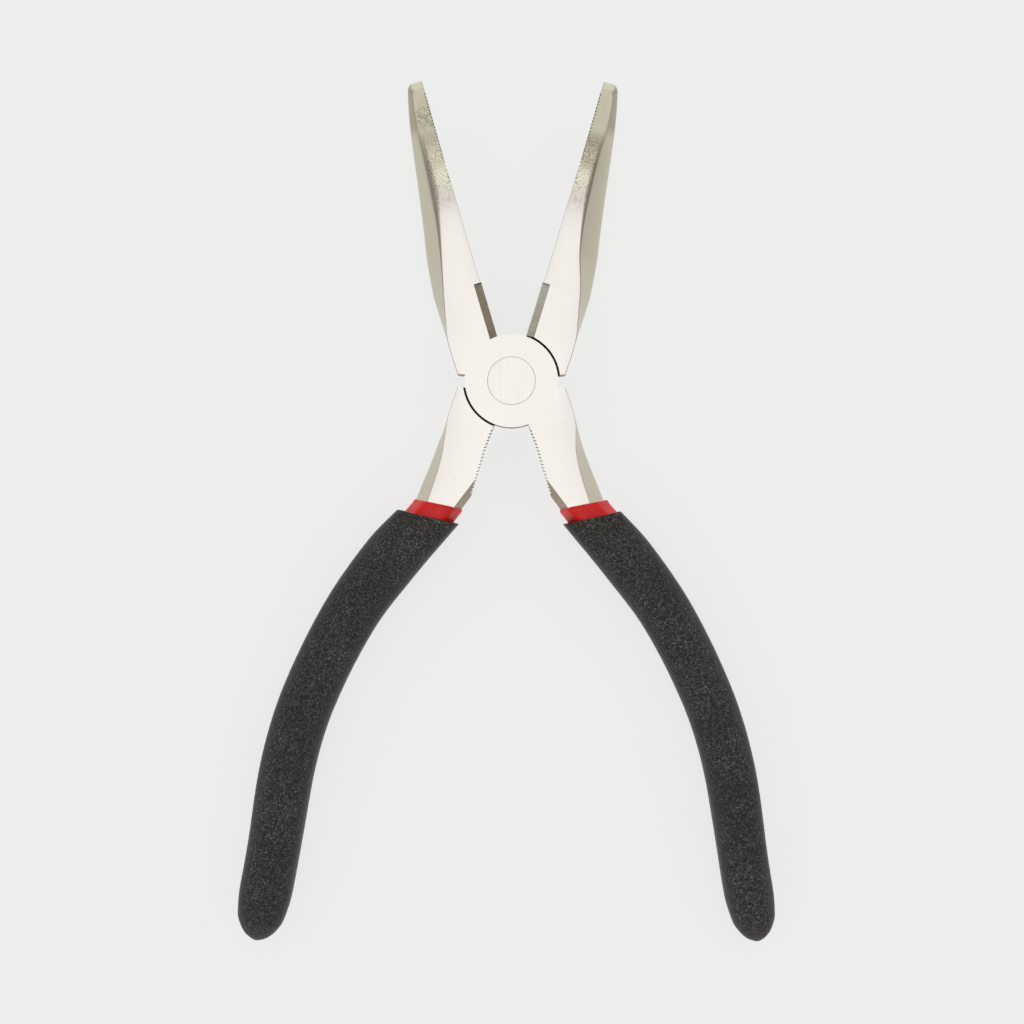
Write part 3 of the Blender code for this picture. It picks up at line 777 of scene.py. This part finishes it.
def wedge(name, shape, up, finish):
    """The room above one side's cutting edge: a block whose lower outer side is cut aslant."""
    sizes = shape.size
    edge, land = sizes.closed_gap / 2, 0.1 * MM
    low, high = land, shape.middle + CUT_MARGIN
    run = sizes.cutter_bevel / (shape.middle - land)
    inner, outer = edge - 3 * CUT_MARGIN, edge + run * (high - low)
    first, last = sizes.disc_radius / 2, shape.cutter_end
    bpy.ops.object.select_all(action="DESELECT")
    bpy.ops.mesh.primitive_cube_add(
        size=1,
        location=(
            shape.side * (inner + outer) / 2,
            (first + last) / 2,
            shape.middle + up * (low + high) / 2,
        ),
        scale=(outer - inner, last - first, high - low),
    )
    made = added(name, finish)
    place_at_origin(made)
    edit(made)
    bpy.ops.mesh.bisect(
        plane_co=(shape.side * edge, 0, shape.middle + up * low),
        plane_no=(shape.side, 0, -up * run),
        use_fill=True,
        clear_outer=True,
    )
    leave_edit()
    return made


def finish_piece(made, side, body, slot, *nodes):
    """Opens the piece by its share of the opening, keeps its own place along the lever for the
    finishes, and hangs it on its body in place of the frame's nodes."""
    own = made.data.attributes.new("own_place", "FLOAT_VECTOR", "POINT")
    places = []
    for vertex in made.data.vertices:
        places += (vertex.co.x * side, vertex.co.y, vertex.co.z)
    own.data.foreach_set("vector", places)
    made.rotation_euler.z = -side * OPENING / 2
    place_at_origin(made)
    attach(made, body)
    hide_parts(*nodes)


# ---------------------------------------------------------------- finishes


class Nodes:
    """Adds nodes to one tree. A value is a number, a colour or the output of another node."""

    def __init__(self, tree):
        self.tree = tree

    def add(self, kind, values=(), **settings):
        """A node with its settings, and its sockets set or linked."""
        made = self.tree.nodes.new(kind)
        for name, value in settings.items():
            setattr(made, name, value)
        for key, value in dict(values).items():
            if isinstance(value, bpy.types.NodeSocket):
                self.tree.links.new(value, made.inputs[key])
            else:
                made.inputs[key].default_value = value
        return made

    def maths(self, operation, first, second=0.0):
        return self.add("ShaderNodeMath", {0: first, 1: second}, operation=operation).outputs[0]

    def times(self, *factors):
        result = factors[0]
        for factor in factors[1:]:
            result = self.maths("MULTIPLY", result, factor)
        return result

    def plus(self, *terms):
        result = terms[0]
        for term in terms[1:]:
            result = self.maths("ADD", result, term)
        return result

    def rest(self, value):
        """What is left of 1."""
        return self.maths("SUBTRACT", 1.0, value)

    def between(self, value, none, full):
        """0 at none, 1 at full, and a smooth step between; full may be below none."""
        limits = {"Value": value, "From Min": none, "From Max": full}
        return self.add("ShaderNodeMapRange", limits, interpolation_type="SMOOTHSTEP").outputs["Result"]

    def zone(self, value, start, full, fading, gone):
        """1 from full to fading, and 0 before start and after gone."""
        return self.times(self.between(value, start, full), self.between(value, gone, fading))

    def mixed(self, share, first, second):
        values = {0: share}
        for key, value in ((6, first), (7, second)):
            values[key] = value if isinstance(value, bpy.types.NodeSocket) else (*value, 1.0)
        return self.add("ShaderNodeMix", values, data_type="RGBA").outputs[2]

    def noise(self, vector, scale, detail=2.0, roughness=0.5):
        values = {"Vector": vector, "Scale": scale, "Detail": detail, "Roughness": roughness}
        return self.add("ShaderNodeTexNoise", values).outputs["Fac"]

    def stretched_noise(self, vector, scales, detail, roughness):
        stretched = self.add("ShaderNodeMapping", {"Vector": vector, "Scale": scales})
        return self.noise(stretched.outputs["Vector"], 1.0, detail, roughness)

    def coordinates(self, kind):
        return self.add("ShaderNodeTexCoord").outputs[kind]

    def parts(self, vector):
        return self.add("ShaderNodeSeparateXYZ", {0: vector}).outputs

    def use(self, shared, **values):
        return self.add("ShaderNodeGroup", values, node_tree=shared).outputs


def group(name, inputs, outputs, build):
    """A shared node group, built once: build gets its nodes and inputs and gives its outputs."""
    made = bpy.data.node_groups.get(name)
    if made is None:
        made = bpy.data.node_groups.new(name, "ShaderNodeTree")
        for title, kind in inputs.items():
            made.interface.new_socket(name=title, in_out="INPUT", socket_type=kind)
        for title in outputs:
            made.interface.new_socket(name=title, in_out="OUTPUT", socket_type="NodeSocketFloat")
        nodes = Nodes(made)
        given = nodes.add("NodeGroupInput").outputs
        result = nodes.add("NodeGroupOutput").inputs
        for socket, value in zip(result, build(nodes, given)):
            made.links.new(value, socket)
    return made


PLACE = {"Place": "NodeSocketVector"}
PLACE_AND_SCALE = {**PLACE, "Scale": "NodeSocketFloat"}


def brushed_lines():
    """Fine lines along Y, of a few lengths and depths."""

    def build(nodes, given):
        fine = nodes.stretched_noise(given["Place"], (5200, 90, 900), 3.0, 0.6)
        broad = nodes.stretched_noise(given["Place"], (1400, 26, 300), 2.0, 0.5)
        lines = nodes.plus(nodes.times(fine, 0.65), nodes.times(broad, 0.35))
        return (nodes.between(lines, 0.34, 0.66),)

    return group("Brushed lines", PLACE, ("Lines",), build)


def blotches():
    """Soft uneven patches and small specks."""

    def build(nodes, given):
        cloud = nodes.noise(given["Place"], given["Scale"], 4.0, 0.62)
        speck = nodes.noise(given["Place"], 1500.0)
        return nodes.between(cloud, 0.38, 0.68), nodes.between(speck, 0.70, 0.76)

    return group("Blotches", PLACE_AND_SCALE, ("Patches", "Specks"), build)


def grain():
    """Fine even grain of ground steel."""

    def build(nodes, given):
        fine = nodes.noise(given["Place"], given["Scale"], 3.0, 0.7)
        return (nodes.between(fine, 0.3, 0.7),)

    return group("Grain", PLACE_AND_SCALE, ("Grain",), build)


def new_finish(name, metallic, specular=0.5):
    """A material, its Principled shader, and the nodes to build it with."""
    made = bpy.data.materials.new(name)
    made.use_nodes = True
    shader = made.node_tree.nodes["Principled BSDF"]
    shader.inputs["Metallic"].default_value = metallic
    shader.inputs["Specular IOR Level"].default_value = specular
    return made, shader, Nodes(made.node_tree)


def wire(nodes, shader, colour, roughness, height, strength, distance):
    """Feeds the shader its colour and roughness, and a bump of the height."""
    bump = nodes.add("ShaderNodeBump", {"Height": height, "Strength": strength, "Distance": distance})
    for socket, value in (
        ("Base Color", colour),
        ("Roughness", roughness),
        ("Normal", bump.outputs["Normal"]),
    ):
        nodes.tree.links.new(value, shader.inputs[socket])


def nickel(colours):
    """Satin nickel over ground forgings: brushed flats, flanks painted a darker tan as shade, cross-ground
    bends with painted shade and brown streaks beyond them, and a painted dark reflection where flat meets
    flank."""
    made, shader, nodes = new_finish("Satin nickel steel", 1.0)
    place = nodes.coordinates("Object")
    normal = nodes.parts(nodes.coordinates("Normal"))
    own = nodes.add("ShaderNodeAttribute", attribute_name="own_place").outputs["Vector"]
    along = nodes.parts(own)["Y"]
    upright, sideways = (nodes.maths("ABSOLUTE", normal[axis]) for axis in "ZX")
    flank = nodes.between(sideways, 0.16, 0.5)
    flat = nodes.rest(flank)
    rear = nodes.between(nodes.parts(place)["X"], -2 * MM, 2 * MM)
    lines = nodes.use(brushed_lines(), Place=place)["Lines"]
    patches = nodes.use(blotches(), Place=place, Scale=55.0)
    nose = nodes.between(along, *NOSE_ZONE)
    tip = nodes.between(along, *TIP_ZONE)
    arcs = nodes.between(nodes.stretched_noise(own, (900, 4200, 1800), 3.0, 0.65), 0.36, 0.66)
    dapple = nodes.between(nodes.stretched_noise(own, (3600, 4600, 3600), 3.0, 0.7), 0.40, 0.64)
    streaks = nodes.between(nodes.stretched_noise(own, (900, 1500, 900), 4.0, 0.6), 0.40, 0.66)

    speckled = nodes.times(nodes.zone(along, *SPECKLED_ZONE), flat)
    rough_spots = nodes.times(speckled, dapple)
    # Painted shade: darker patches on the flats of the bend, half again as strong on the rear jaw
    bend_shade = nodes.times(nodes.zone(along, *BEND_SHADE_ZONE), nodes.plus(0.34, nodes.times(dapple, 0.45)))
    bend_shade = nodes.maths("MINIMUM", nodes.times(bend_shade, nodes.plus(1.0, nodes.times(rear, 0.5))), 1.0)
    # Painted reflection: a dark band along the rounded edge between flat and flank
    edge = nodes.times(nodes.zone(sideways, 0.03, 0.12, 0.45, 0.75), nodes.zone(along, *EDGE_REFLECTION_ZONE))
    edge = nodes.times(edge, nodes.plus(0.25, nodes.times(dapple, 0.35)))
    # Brown streaks near the tip of the front jaw's flats
    brown_streak = nodes.times(nodes.zone(along, *STREAKED_ZONE), streaks, flat, nodes.rest(rear))

    # Painted shade: faces that slope sideways take a darker tan than the flats, by the way they face
    colour = nodes.mixed(flank, colours.nickel_flat, colours.flank_painted_shade)
    for share, shade in (
        (nodes.times(nodes.rest(lines), 0.09), colours.brush_shade),
        (nodes.times(patches["Patches"], 0.10), colours.cloud_shade),
        (nodes.times(nose, flat), colours.nickel_nose),
        (nodes.times(speckled, 0.9, nodes.times(arcs, dapple)), colours.grinding_shade),
        (nodes.times(bend_shade, flat), colours.bend_painted_shade),
        (edge, colours.edge_painted_reflection),
        (nodes.times(brown_streak, 0.60), colours.brown_streak),
        (nodes.times(patches["Specks"], 0.35), colours.speck_shade),
    ):
        colour = nodes.mixed(share, colour, shade)

    rough = nodes.plus(0.30, nodes.times(lines, 0.02), nodes.times(rough_spots, 0.12), nodes.times(tip, 0.38))
    brushed = nodes.times(lines, nodes.between(upright, 0.8, 0.98))
    height = nodes.plus(nodes.times(brushed, 0.5), nodes.times(rough_spots, 5.0))
    wire(nodes, shader, colour, rough, height, 0.10, 0.01 * MM)
    return made


def shaded(colour, share):
    """A colour made darker or paler."""
    return [part * share for part in colour]


def cut_steel(name, base, scale=2600.0, deep=0.62):
    """Steel left by a cutter or grinding wheel, in a given base colour with a fine grain; for the teeth
    grooves, the lap joint and the front cutter that base colour is painted shade.
    """
    made, shader, nodes = new_finish(name, 1.0)
    place = nodes.coordinates("Object")
    grains = nodes.use(grain(), Place=place, Scale=scale)["Grain"]
    patches = nodes.use(blotches(), Place=place, Scale=260.0)["Patches"]
    colour = nodes.mixed(nodes.times(grains, 0.55), base, shaded(base, deep))
    colour = nodes.mixed(nodes.times(patches, 0.35), colour, shaded(base, 1.25))
    rough = nodes.plus(0.36, nodes.times(grains, 0.16))
    wire(nodes, shader, colour, rough, grains, 0.5, 0.01 * MM)
    return made


def rivet_finish(colours):
    """The levers' nickel, brushed flat and free of the marks of the jaws."""
    made, shader, nodes = new_finish("Ground rivet steel", 1.0)
    place = nodes.coordinates("Object")
    lines = nodes.use(brushed_lines(), Place=place)["Lines"]
    patches = nodes.use(blotches(), Place=place, Scale=90.0)["Patches"]
    colour = nodes.mixed(nodes.times(lines, 0.14), colours.nickel_flat, colours.brush_shade)
    colour = nodes.mixed(nodes.times(patches, 0.10), colour, colours.cloud_shade)
    rough = nodes.plus(0.30, nodes.times(lines, 0.02))
    wire(nodes, shader, colour, rough, lines, 0.05, 0.01 * MM)
    return made


def red_finish(colours):
    """Dipped vinyl: glossy, with a slow waviness."""
    made, shader, nodes = new_finish("Red vinyl", 0.0, specular=0.28)
    place = nodes.coordinates("Object")
    waves = nodes.noise(place, 420.0)
    patches = nodes.use(blotches(), Place=place, Scale=300.0)["Patches"]
    colour = nodes.mixed(nodes.times(patches, 0.35), colours.red_vinyl, shaded(colours.red_vinyl, 0.72))
    rough = nodes.plus(0.36, nodes.times(patches, 0.12))
    wire(nodes, shader, colour, rough, waves, 0.25, 0.1 * MM)
    return made


def black_finish(colours):
    """Foamed vinyl: a matt skin of small cells with pale specks, many more of them on the crown as a painted
    sheen from the light above.
    """
    made, shader, nodes = new_finish("Black foam vinyl", 0.0, specular=0.42)
    place = nodes.coordinates("Object")
    normal = nodes.parts(nodes.coordinates("Normal"))
    cells = nodes.add("ShaderNodeTexVoronoi", {"Vector": place, "Scale": 2100.0}).outputs["Distance"]
    fine = nodes.noise(place, 4400.0, 2.0, 0.7)
    soft = nodes.noise(place, 1700.0, 3.0, 0.6)
    patches = nodes.use(blotches(), Place=place, Scale=70.0)["Patches"]
    tips = nodes.times(nodes.between(fine, 0.44, 0.74), nodes.between(soft, 0.31, 0.67))
    # Painted sheen: the specks grow strong where the grip faces up, for the light overhead; elsewhere a tenth
    # of them stay
    crown = nodes.between(nodes.maths("ABSOLUTE", normal["Z"]), 0.30, 1.0)
    crown_sheen = nodes.plus(0.10, nodes.times(crown, 0.95))
    colour = nodes.mixed(nodes.times(tips, crown_sheen), colours.black_vinyl, colours.foam_speck_and_sheen)
    colour = nodes.mixed(nodes.times(patches, 0.35), colour, shaded(colours.black_vinyl, 0.6))
    rough = nodes.maths("SUBTRACT", 0.46, nodes.times(tips, 0.15))
    height = nodes.plus(nodes.times(nodes.between(cells, 0.12, 0.62), 0.5), fine)
    wire(nodes, shader, colour, rough, height, 1.0, 0.2 * MM)
    return made


def floor_finish(colours):
    """A pale sheet, lit from below as well, so that shadows on it are faint."""
    made, shader, nodes = new_finish("Pale floor", 0.0, specular=0.0)
    cloud = nodes.noise(nodes.coordinates("Object"), 3.0)
    colour = nodes.mixed(nodes.times(cloud, 0.02), shaded(colours.floor, 0.25), shaded(colours.floor, 0.245))
    nodes.tree.links.new(colour, shader.inputs["Base Color"])
    shader.inputs["Roughness"].default_value = 0.9
    shader.inputs["Emission Color"].default_value = (*colours.floor, 1.0)
    shader.inputs["Emission Strength"].default_value = FLOOR_GLOW
    return made


# ---------------------------------------------------------------- operators


class PLIERS_OT_levers(bpy.types.Operator):
    """Model both levers: jaw, half of the lap joint, neck and tang in one forging each"""

    bl_idname = "pliers.levers"
    bl_label = "Levers"

    def execute(self, context):
        sizes = context.scene.pliers_sizes
        colours = context.scene.pliers_colours
        steel = nickel(colours)
        # The two cutter finishes are shaded and lit copies of one ground steel: painted shade on the front
        # bevel, painted light on the rear
        cutters = (
            cut_steel("Ground cutter steel", colours.front_cutter_painted_shade),
            cut_steel("Rear cutter steel", colours.rear_cutter_painted_light),
        )
        bevel = cut_steel("Ground bevel steel", colours.bevel_steel)
        # Near-black grooves: painted shade in the teeth and the pipe grip
        groove = cut_steel("Grooved steel", colours.groove_painted_shade, 3200.0, 0.7)
        # Near-black steel for the joint's faces, gaps and bore: painted shade in the gaps
        lap = cut_steel("Milled lap steel", colours.lap_painted_shade, 1800.0, 0.7)
        for (name, side, upper), cutter in zip(LEVERS, cutters):
            shape = Shape(sizes, side)
            made = self.jaw(name, shape, steel, bevel)
            for up in (1, -1):
                combine(made, "DIFFERENCE", wedge("cutter_bevel", shape, up, cutter))
            combine(made, "DIFFERENCE", self.teeth(shape, groove))
            neck = self.neck(shape, steel, bevel)
            combine(neck, "DIFFERENCE", self.neck_bevel(shape, bevel))
            combine(neck, "DIFFERENCE", self.pipe_grip(shape, groove))
            # The upper disc's side wall takes the near-black lap finish as painted shade of the gap beneath
            # it; the lower disc's side keeps the tan bevel steel
            disc, pocket = self.half_joint(shape, upper, steel, lap if upper else bevel, lap)
            for joined in (disc, neck, self.tang(shape, steel)):
                combine(made, "UNION", joined)
            for cut in (pocket, rivet_solid("bore", sizes, sizes.rivet_seam, CUT_MARGIN, lap)):
                combine(made, "DIFFERENCE", cut)
            choose(made)
            bpy.ops.object.shade_smooth_by_angle(angle=math.radians(28))
            finish_piece(made, side, f"{name}_half", "nickel_steel", f"{name}_lever")
        return {"FINISHED"}

    def half_joint(self, shape, upper, face, disc_side, pocket_side):
        """This lever's half-disc, and the room to cut for the other lever's."""
        sizes = shape.size
        gap = sizes.lap_clearance / 2 * (1 if upper else -1)
        middle, top = shape.middle + gap, sizes.head_thickness
        disc = (middle, top) if upper else (0, middle)
        pocket = (-CUT_MARGIN, middle) if upper else (middle, top + CUT_MARGIN)
        radius = sizes.disc_radius
        return (
            drum("disc", radius, *disc, face, disc_side),
            drum("pocket", radius + sizes.pocket_clearance, *pocket, pocket_side, pocket_side),
        )

    def jaw(self, name, shape, steel, root):
        """The jaw with its tip rounded over."""
        sizes = shape.size
        straight_step, bent_step = 1.2 * MM, 0.5 * MM
        tip_back, tip_shrink = 0.9 * MM, 0.8 * MM
        places = steps(0, shape.cutter_end, straight_step)
        places += steps(shape.cutter_end + 0.1 * MM, shape.bend_start, straight_step)
        places += steps(shape.bend_start, sizes.nose_length - tip_back, bent_step)[1:]
        sections = [shape.jaw_section(s) for s in places]
        for turn in (15, 30, 45, 60, 75, 85):
            turn = math.radians(turn)
            back, shrink = tip_back * (1 - math.sin(turn)), tip_shrink * (1 - math.cos(turn))
            sections.append(shape.jaw_section(sizes.nose_length - back, shrink))
        return loft(f"{name}_lever_steel", sections, steel, root)

    def teeth(self, shape, finish):
        """The grooves across the face of the jaw, from the tip back."""
        sizes = shape.size
        last = sizes.nose_length - TOOTH_START
        places = []
        for i in range(int(sizes.toothed_length / sizes.tooth_pitch) + 1):
            s = last - i * sizes.tooth_pitch
            start, across = shape.jaw_frame(s)
            point = start + Vector((shape.side * shape.jaw_face(s), 0, 0))
            places.append((point, Vector((shape.side, 0, 0)), across))
        half = shape.middle + CUT_MARGIN
        return groove_row("teeth", places, sizes.tooth_width, sizes.tooth_depth, half, finish)

    def neck(self, shape, steel, root):
        """The neck, which narrows to the tang inside the sleeve."""
        sections = [shape.neck_section(b) for b in steps(0, shape.mouth, 0.8 * MM)]
        last = sections[-1]
        centre = Vector((-shape.side * MOUTH_BOW, -shape.mouth, shape.middle))
        narrow = shape.size.tang_width / shape.size.neck_width * 0.8
        for behind, share in ((1.5 * MM, 0.97), (3.5 * MM, 0.85), (6.0 * MM, narrow)):
            b = shape.mouth + behind
            moved = Vector((-shape.side * shape.handle_bow(b), -b, shape.middle))
            sections.append([moved + (point - centre) * share for point in last])
        return loft("neck", sections, steel, root)

    def neck_bevel(self, shape, finish):
        """The room inside a neck: bevels above and below that run outwards into the sleeve."""
        sizes = shape.size
        sections = []
        for behind in (0.0, shape.mouth + 6 * MM - sizes.bevel_start):
            top = sizes.bevel_inset + math.tan(sizes.bevel_angle) * behind
            lean = sizes.bevel_width / (shape.middle - RIDGE)
            corners = mirrored_below(
                [
                    (-4 * CUT_MARGIN, shape.middle + CUT_MARGIN),
                    (top + lean * CUT_MARGIN, shape.middle + CUT_MARGIN),
                    (top - sizes.bevel_width, RIDGE),
                ]
            )
            b = sizes.bevel_start + behind
            sections.append([Vector((-shape.side * x, -b, shape.middle + z)) for x, z in corners])
        return loft("neck_bevel", sections, finish)

    def pipe_grip(self, shape, finish):
        """The grooves across the inner face of the neck, from the disc back."""
        sizes = shape.size
        first = sizes.disc_radius + PIPE_START
        places = []
        for i in range(int(sizes.pipe_length / sizes.pipe_pitch) + 1):
            b = first + i * sizes.pipe_pitch
            point = shape.neck_place(b, shape.neck_corners(b)[0][0], 0.0)
            places.append((point, Vector((-shape.side, 0, 0)), Vector((0, 0, 1))))
        half = shape.middle + CUT_MARGIN
        return groove_row("pipe_grip", places, sizes.pipe_width, sizes.pipe_depth, half, finish)

    def tang(self, shape, steel):
        """The steel inside the handle."""
        sections = []
        for b in steps(shape.mouth + 2.0 * MM, shape.tang_end, 3.0 * MM):
            halves = shape.steel_size(b, shape.tang_end)
            if b < shape.mouth + 12 * MM:
                halves = shape.size.tang_width / 2, shape.size.tang_thickness / 2
            sections.append(shape.handle_section(b, oval_outline(*halves, OVAL, 32)))
        return loft("tang", sections, steel)


def rivet_solid(name, sizes, grow, overshoot, finish):
    """A shank with a countersunk head at each end, grown and lengthened for a bore."""
    head, shank = sizes.rivet_head + grow, sizes.rivet_shank + grow
    top, rim = sizes.head_thickness, 0.25 * MM
    profile = (
        (head, -overshoot),
        (head, rim),
        (shank, sizes.rivet_depth),
        (shank, top - sizes.rivet_depth),
        (head, top - rim),
        (head, top + overshoot),
    )
    return turned(name, profile, finish)


class PLIERS_OT_rivet(bpy.types.Operator):
    """Model the pivot rivet, ground flush at both ends"""

    bl_idname = "pliers.rivet"
    bl_label = "Pivot rivet"

    def execute(self, context):
        sizes = context.scene.pliers_sizes
        made = rivet_solid("pivot_rivet_steel", sizes, 0.0, 0.0, rivet_finish(context.scene.pliers_colours))
        limit = math.radians(60)
        modify(made, "BEVEL", width=0.05 * MM, segments=2, limit_method="ANGLE", angle_limit=limit)
        bpy.ops.object.shade_smooth_by_angle(angle=math.radians(12))
        finish_piece(made, 1, "rear_half", "rivet_steel", "pivot_rivet")
        return {"FINISHED"}


class PLIERS_OT_sleeves(bpy.types.Operator):
    """Model both red inner sleeves, with a rolled rim that hugs the neck"""

    bl_idname = "pliers.sleeves"
    bl_label = "Inner sleeves"

    def execute(self, context):
        sizes = context.scene.pliers_sizes
        red = red_finish(context.scene.pliers_colours)
        for name, side, _ in LEVERS:
            made = loft(f"{name}_sleeve_vinyl", self.sections(Shape(sizes, side)), red)
            bpy.ops.object.shade_smooth_by_angle(angle=math.radians(40))
            finish_piece(made, side, f"{name}_half", "red_vinyl", f"{name}_inner_sleeve")
        return {"FINISHED"}

    def sections(self, shape):
        """Along the outside to the rim, over it, and back down the inside."""
        wall, clearance = shape.size.sleeve_wall, shape.size.sleeve_clearance
        outer = SLEEVE_FIT + wall + 0.15 * MM
        rim, rolled = shape.mouth - shape.size.sleeve_rise, 1.0 * MM
        hidden = shape.grip_mouth + 9 * MM
        walk = [(b, outer) for b in steps(shape.sleeve_end, hidden, 4 * MM)[:-1]]
        walk += [(b, outer) for b in steps(hidden, rim + rolled, 0.6 * MM)]
        for turn in range(15, 180, 15):
            turn = math.radians(turn)
            length_over = rolled if turn < math.pi / 2 else wall / 2
            b = rim + length_over * (1 - math.sin(turn))
            walk.append((b, SLEEVE_FIT + (outer - SLEEVE_FIT) * (1 + math.cos(turn)) / 2))
        for b in steps(rim + wall / 2, shape.tang_end + 1.0 * MM, 3.0 * MM):
            settled = ease((b - shape.mouth) / (6 * MM))
            walk.append((b, SLEEVE_FIT + (clearance - SLEEVE_FIT) * settled))
        return [shape.handle_section(b, shape.sleeve_room(b, grow)) for b, grow in walk]


class PLIERS_OT_grips(bpy.types.Operator):
    """Model both black outer grips, with a crisp lip, a pointed end and a foam texture"""

    bl_idname = "pliers.grips"
    bl_label = "Outer grips"

    def execute(self, context):
        sizes = context.scene.pliers_sizes
        black = black_finish(context.scene.pliers_colours)
        foam = bpy.data.textures.new("Foam", "CLOUDS")
        foam.noise_scale = 0.5 * MM
        foam.noise_depth = 2
        for name, side, _ in LEVERS:
            shape = Shape(sizes, side)
            made = loft(f"{name}_grip_vinyl", self.sections(shape), black)
            relief = {"strength": sizes.foam_height, "mid_level": 0.62}
            modify(made, "DISPLACE", texture=foam, texture_coords="LOCAL", **relief)
            choose(made)
            bpy.ops.object.shade_smooth_by_angle(angle=math.radians(60))
            finish_piece(made, side, f"{name}_half", "black_vinyl", f"{name}_outer_grip")
        return {"FINISHED"}

    def sections(self, shape):
        """From the pointed end along the outside to the lip, and back down the hollow."""
        sections = []
        for distance in (0.05, 0.15, 0.3, 0.5, 0.75, 1.05, 1.4, 1.8, 2.2, 2.6, 3.0):
            sections.append(self.end_section(shape, distance * MM))
        for distance in steps(3.0 * MM + 0.3 * MM, END_LENGTH, GRIP_STEP):
            sections.append(self.end_section(shape, distance))
        start = shape.grip_end - END_LENGTH
        for b in steps(start - GRIP_STEP, shape.grip_mouth + 0.3 * MM, GRIP_STEP):
            sections.append(self.section(shape, b, shape.grip_size(b), shape.grip_shift(b)))
        width, thickness = shape.grip_size(shape.grip_mouth)
        lip = 0.12 * MM
        for back, shrink in ((lip, 0.0), (lip / 3, 0.3 * lip), (0.0, lip)):
            b = shape.grip_mouth + back
            halves = width - shrink, thickness - shrink
            sections.append(self.section(shape, b, halves, shape.grip_shift(b)))
        for b in steps(shape.grip_mouth, shape.sleeve_end + 0.5 * MM, 3.0 * MM):
            halves = [half - GRIP_FIT for half in shape.grip_room(b)]
            sections.append(self.section(shape, b, halves))
        return sections

    def section(self, shape, b, halves, shift=0.0):
        squareness = 1 - ease((b - shape.mouth) / GRIP_SQUARE_LENGTH)
        power = OVAL + (MOUTH_OVAL - OVAL) * squareness
        return shape.handle_section(b, oval_outline(*halves, power, GRIP_SIDES), shift)

    def end_section(self, shape, distance):
        """A section at a distance from the tip of the grip, where it is more of an ellipse."""
        b = shape.grip_end - distance
        share = smooth(GRIP_END, distance)[0]
        halves = [half * share for half in shape.grip_size(b)]
        outline = oval_outline(*halves, OVAL - 0.5 * (1 - share), GRIP_SIDES)
        return shape.handle_section(b, outline, shape.grip_shift(b))


def warm_grey(brightness):
    return (brightness, brightness * 0.985, brightness * 0.965, 1.0)


class PLIERS_OT_stage(bpy.types.Operator):
    """Lay the floor, light it softly and set the camera straight above"""

    bl_idname = "pliers.stage"
    bl_label = "Stage"

    def execute(self, context):
        colours = context.scene.pliers_colours
        bpy.ops.object.select_all(action="DESELECT")
        bpy.ops.mesh.primitive_plane_add(size=6.0, location=(0, 0, CAD_BOX[0][2] - FLOOR_GAP))
        floor = added("floor", floor_finish(colours))
        place_at_origin(floor)
        self.sky(context)
        self.camera(context)
        context.scene.view_settings.view_transform = "Standard"
        return {"FINISHED"}

    def sky(self, context):
        """A soft dome: bright overhead, dim around that, and dark at the sides, most at the right."""
        world = bpy.data.worlds.new("Soft studio")
        world.use_nodes = True
        context.scene.world = world
        nodes = Nodes(world.node_tree)
        direction = nodes.parts(nodes.coordinates("Generated"))
        ramp = nodes.add("ShaderNodeValToRGB", {"Fac": direction["Z"]})
        stops = ramp.color_ramp.elements
        for stop, (height, brightness) in zip(stops, (SKY[0], SKY[-1])):
            stop.position, stop.color = height, warm_grey(brightness)
        for height, brightness in SKY[1:-1]:
            stops.new(height).color = warm_grey(brightness)
        right = nodes.between(direction["X"], -0.2, 0.2)
        loss = nodes.plus(SIDE_LOSS, nodes.times(right, RIGHT_LOSS))
        loss = nodes.times(loss, nodes.between(direction["Z"], *LOSS_RISE))
        share = nodes.rest(nodes.times(direction["X"], direction["X"], loss))
        background = nodes.tree.nodes["Background"].inputs
        nodes.tree.links.new(ramp.outputs["Color"], background["Color"])
        nodes.tree.links.new(nodes.times(share, SKY_STRENGTH), background["Strength"])

    def camera(self, context):
        """Straight above, turned so that the pliers lie a little clockwise."""
        centre = Matrix.Rotation(CAMERA_ROLL, 3, "Z") @ CAMERA_CENTRE
        place = (centre.x, centre.y, CAMERA_HEIGHT)
        bpy.ops.object.camera_add(location=place, rotation=(0, 0, CAMERA_ROLL))
        camera = bpy.context.object
        camera.name = "camera"
        camera.data.lens = CAMERA_LENS
        context.scene.camera = camera


class PLIERS_PT_panel(bpy.types.Panel):
    """Lists the steps of the model"""

    bl_idname = "PLIERS_PT_panel"
    bl_label = "Needle nose pliers"
    bl_space_type = "VIEW_3D"
    bl_region_type = "UI"
    bl_category = "Pliers"

    def draw(self, context):
        for operator in OPERATORS:
            self.layout.operator(operator.bl_idname)
        for group_of_values in (context.scene.pliers_sizes, context.scene.pliers_colours):
            column = self.layout.column()
            for key in group_of_values.bl_rna.properties.keys()[2:]:
                column.prop(group_of_values, key)


OPERATORS = (
    PLIERS_OT_levers,
    PLIERS_OT_rivet,
    PLIERS_OT_sleeves,
    PLIERS_OT_grips,
    PLIERS_OT_stage,
)
CLASSES = (PliersSizes, PliersColours, *OPERATORS, PLIERS_PT_panel)


def register():
    for each in CLASSES:
        bpy.utils.register_class(each)
    bpy.types.Scene.pliers_sizes = PointerProperty(type=PliersSizes)
    bpy.types.Scene.pliers_colours = PointerProperty(type=PliersColours)


def unregister():
    del bpy.types.Scene.pliers_colours
    del bpy.types.Scene.pliers_sizes
    for each in reversed(CLASSES):
        bpy.utils.unregister_class(each)


def main():
    register()
    for name in ("Cube", "Light", "Camera"):
        old = bpy.data.objects.get(name)
        if old is not None:
            bpy.data.objects.remove(old)
    bpy.ops.pliers.levers()
    bpy.ops.pliers.rivet()
    bpy.ops.pliers.sleeves()
    bpy.ops.pliers.grips()
    bpy.ops.pliers.stage()


if __name__ == "__main__":
    main()
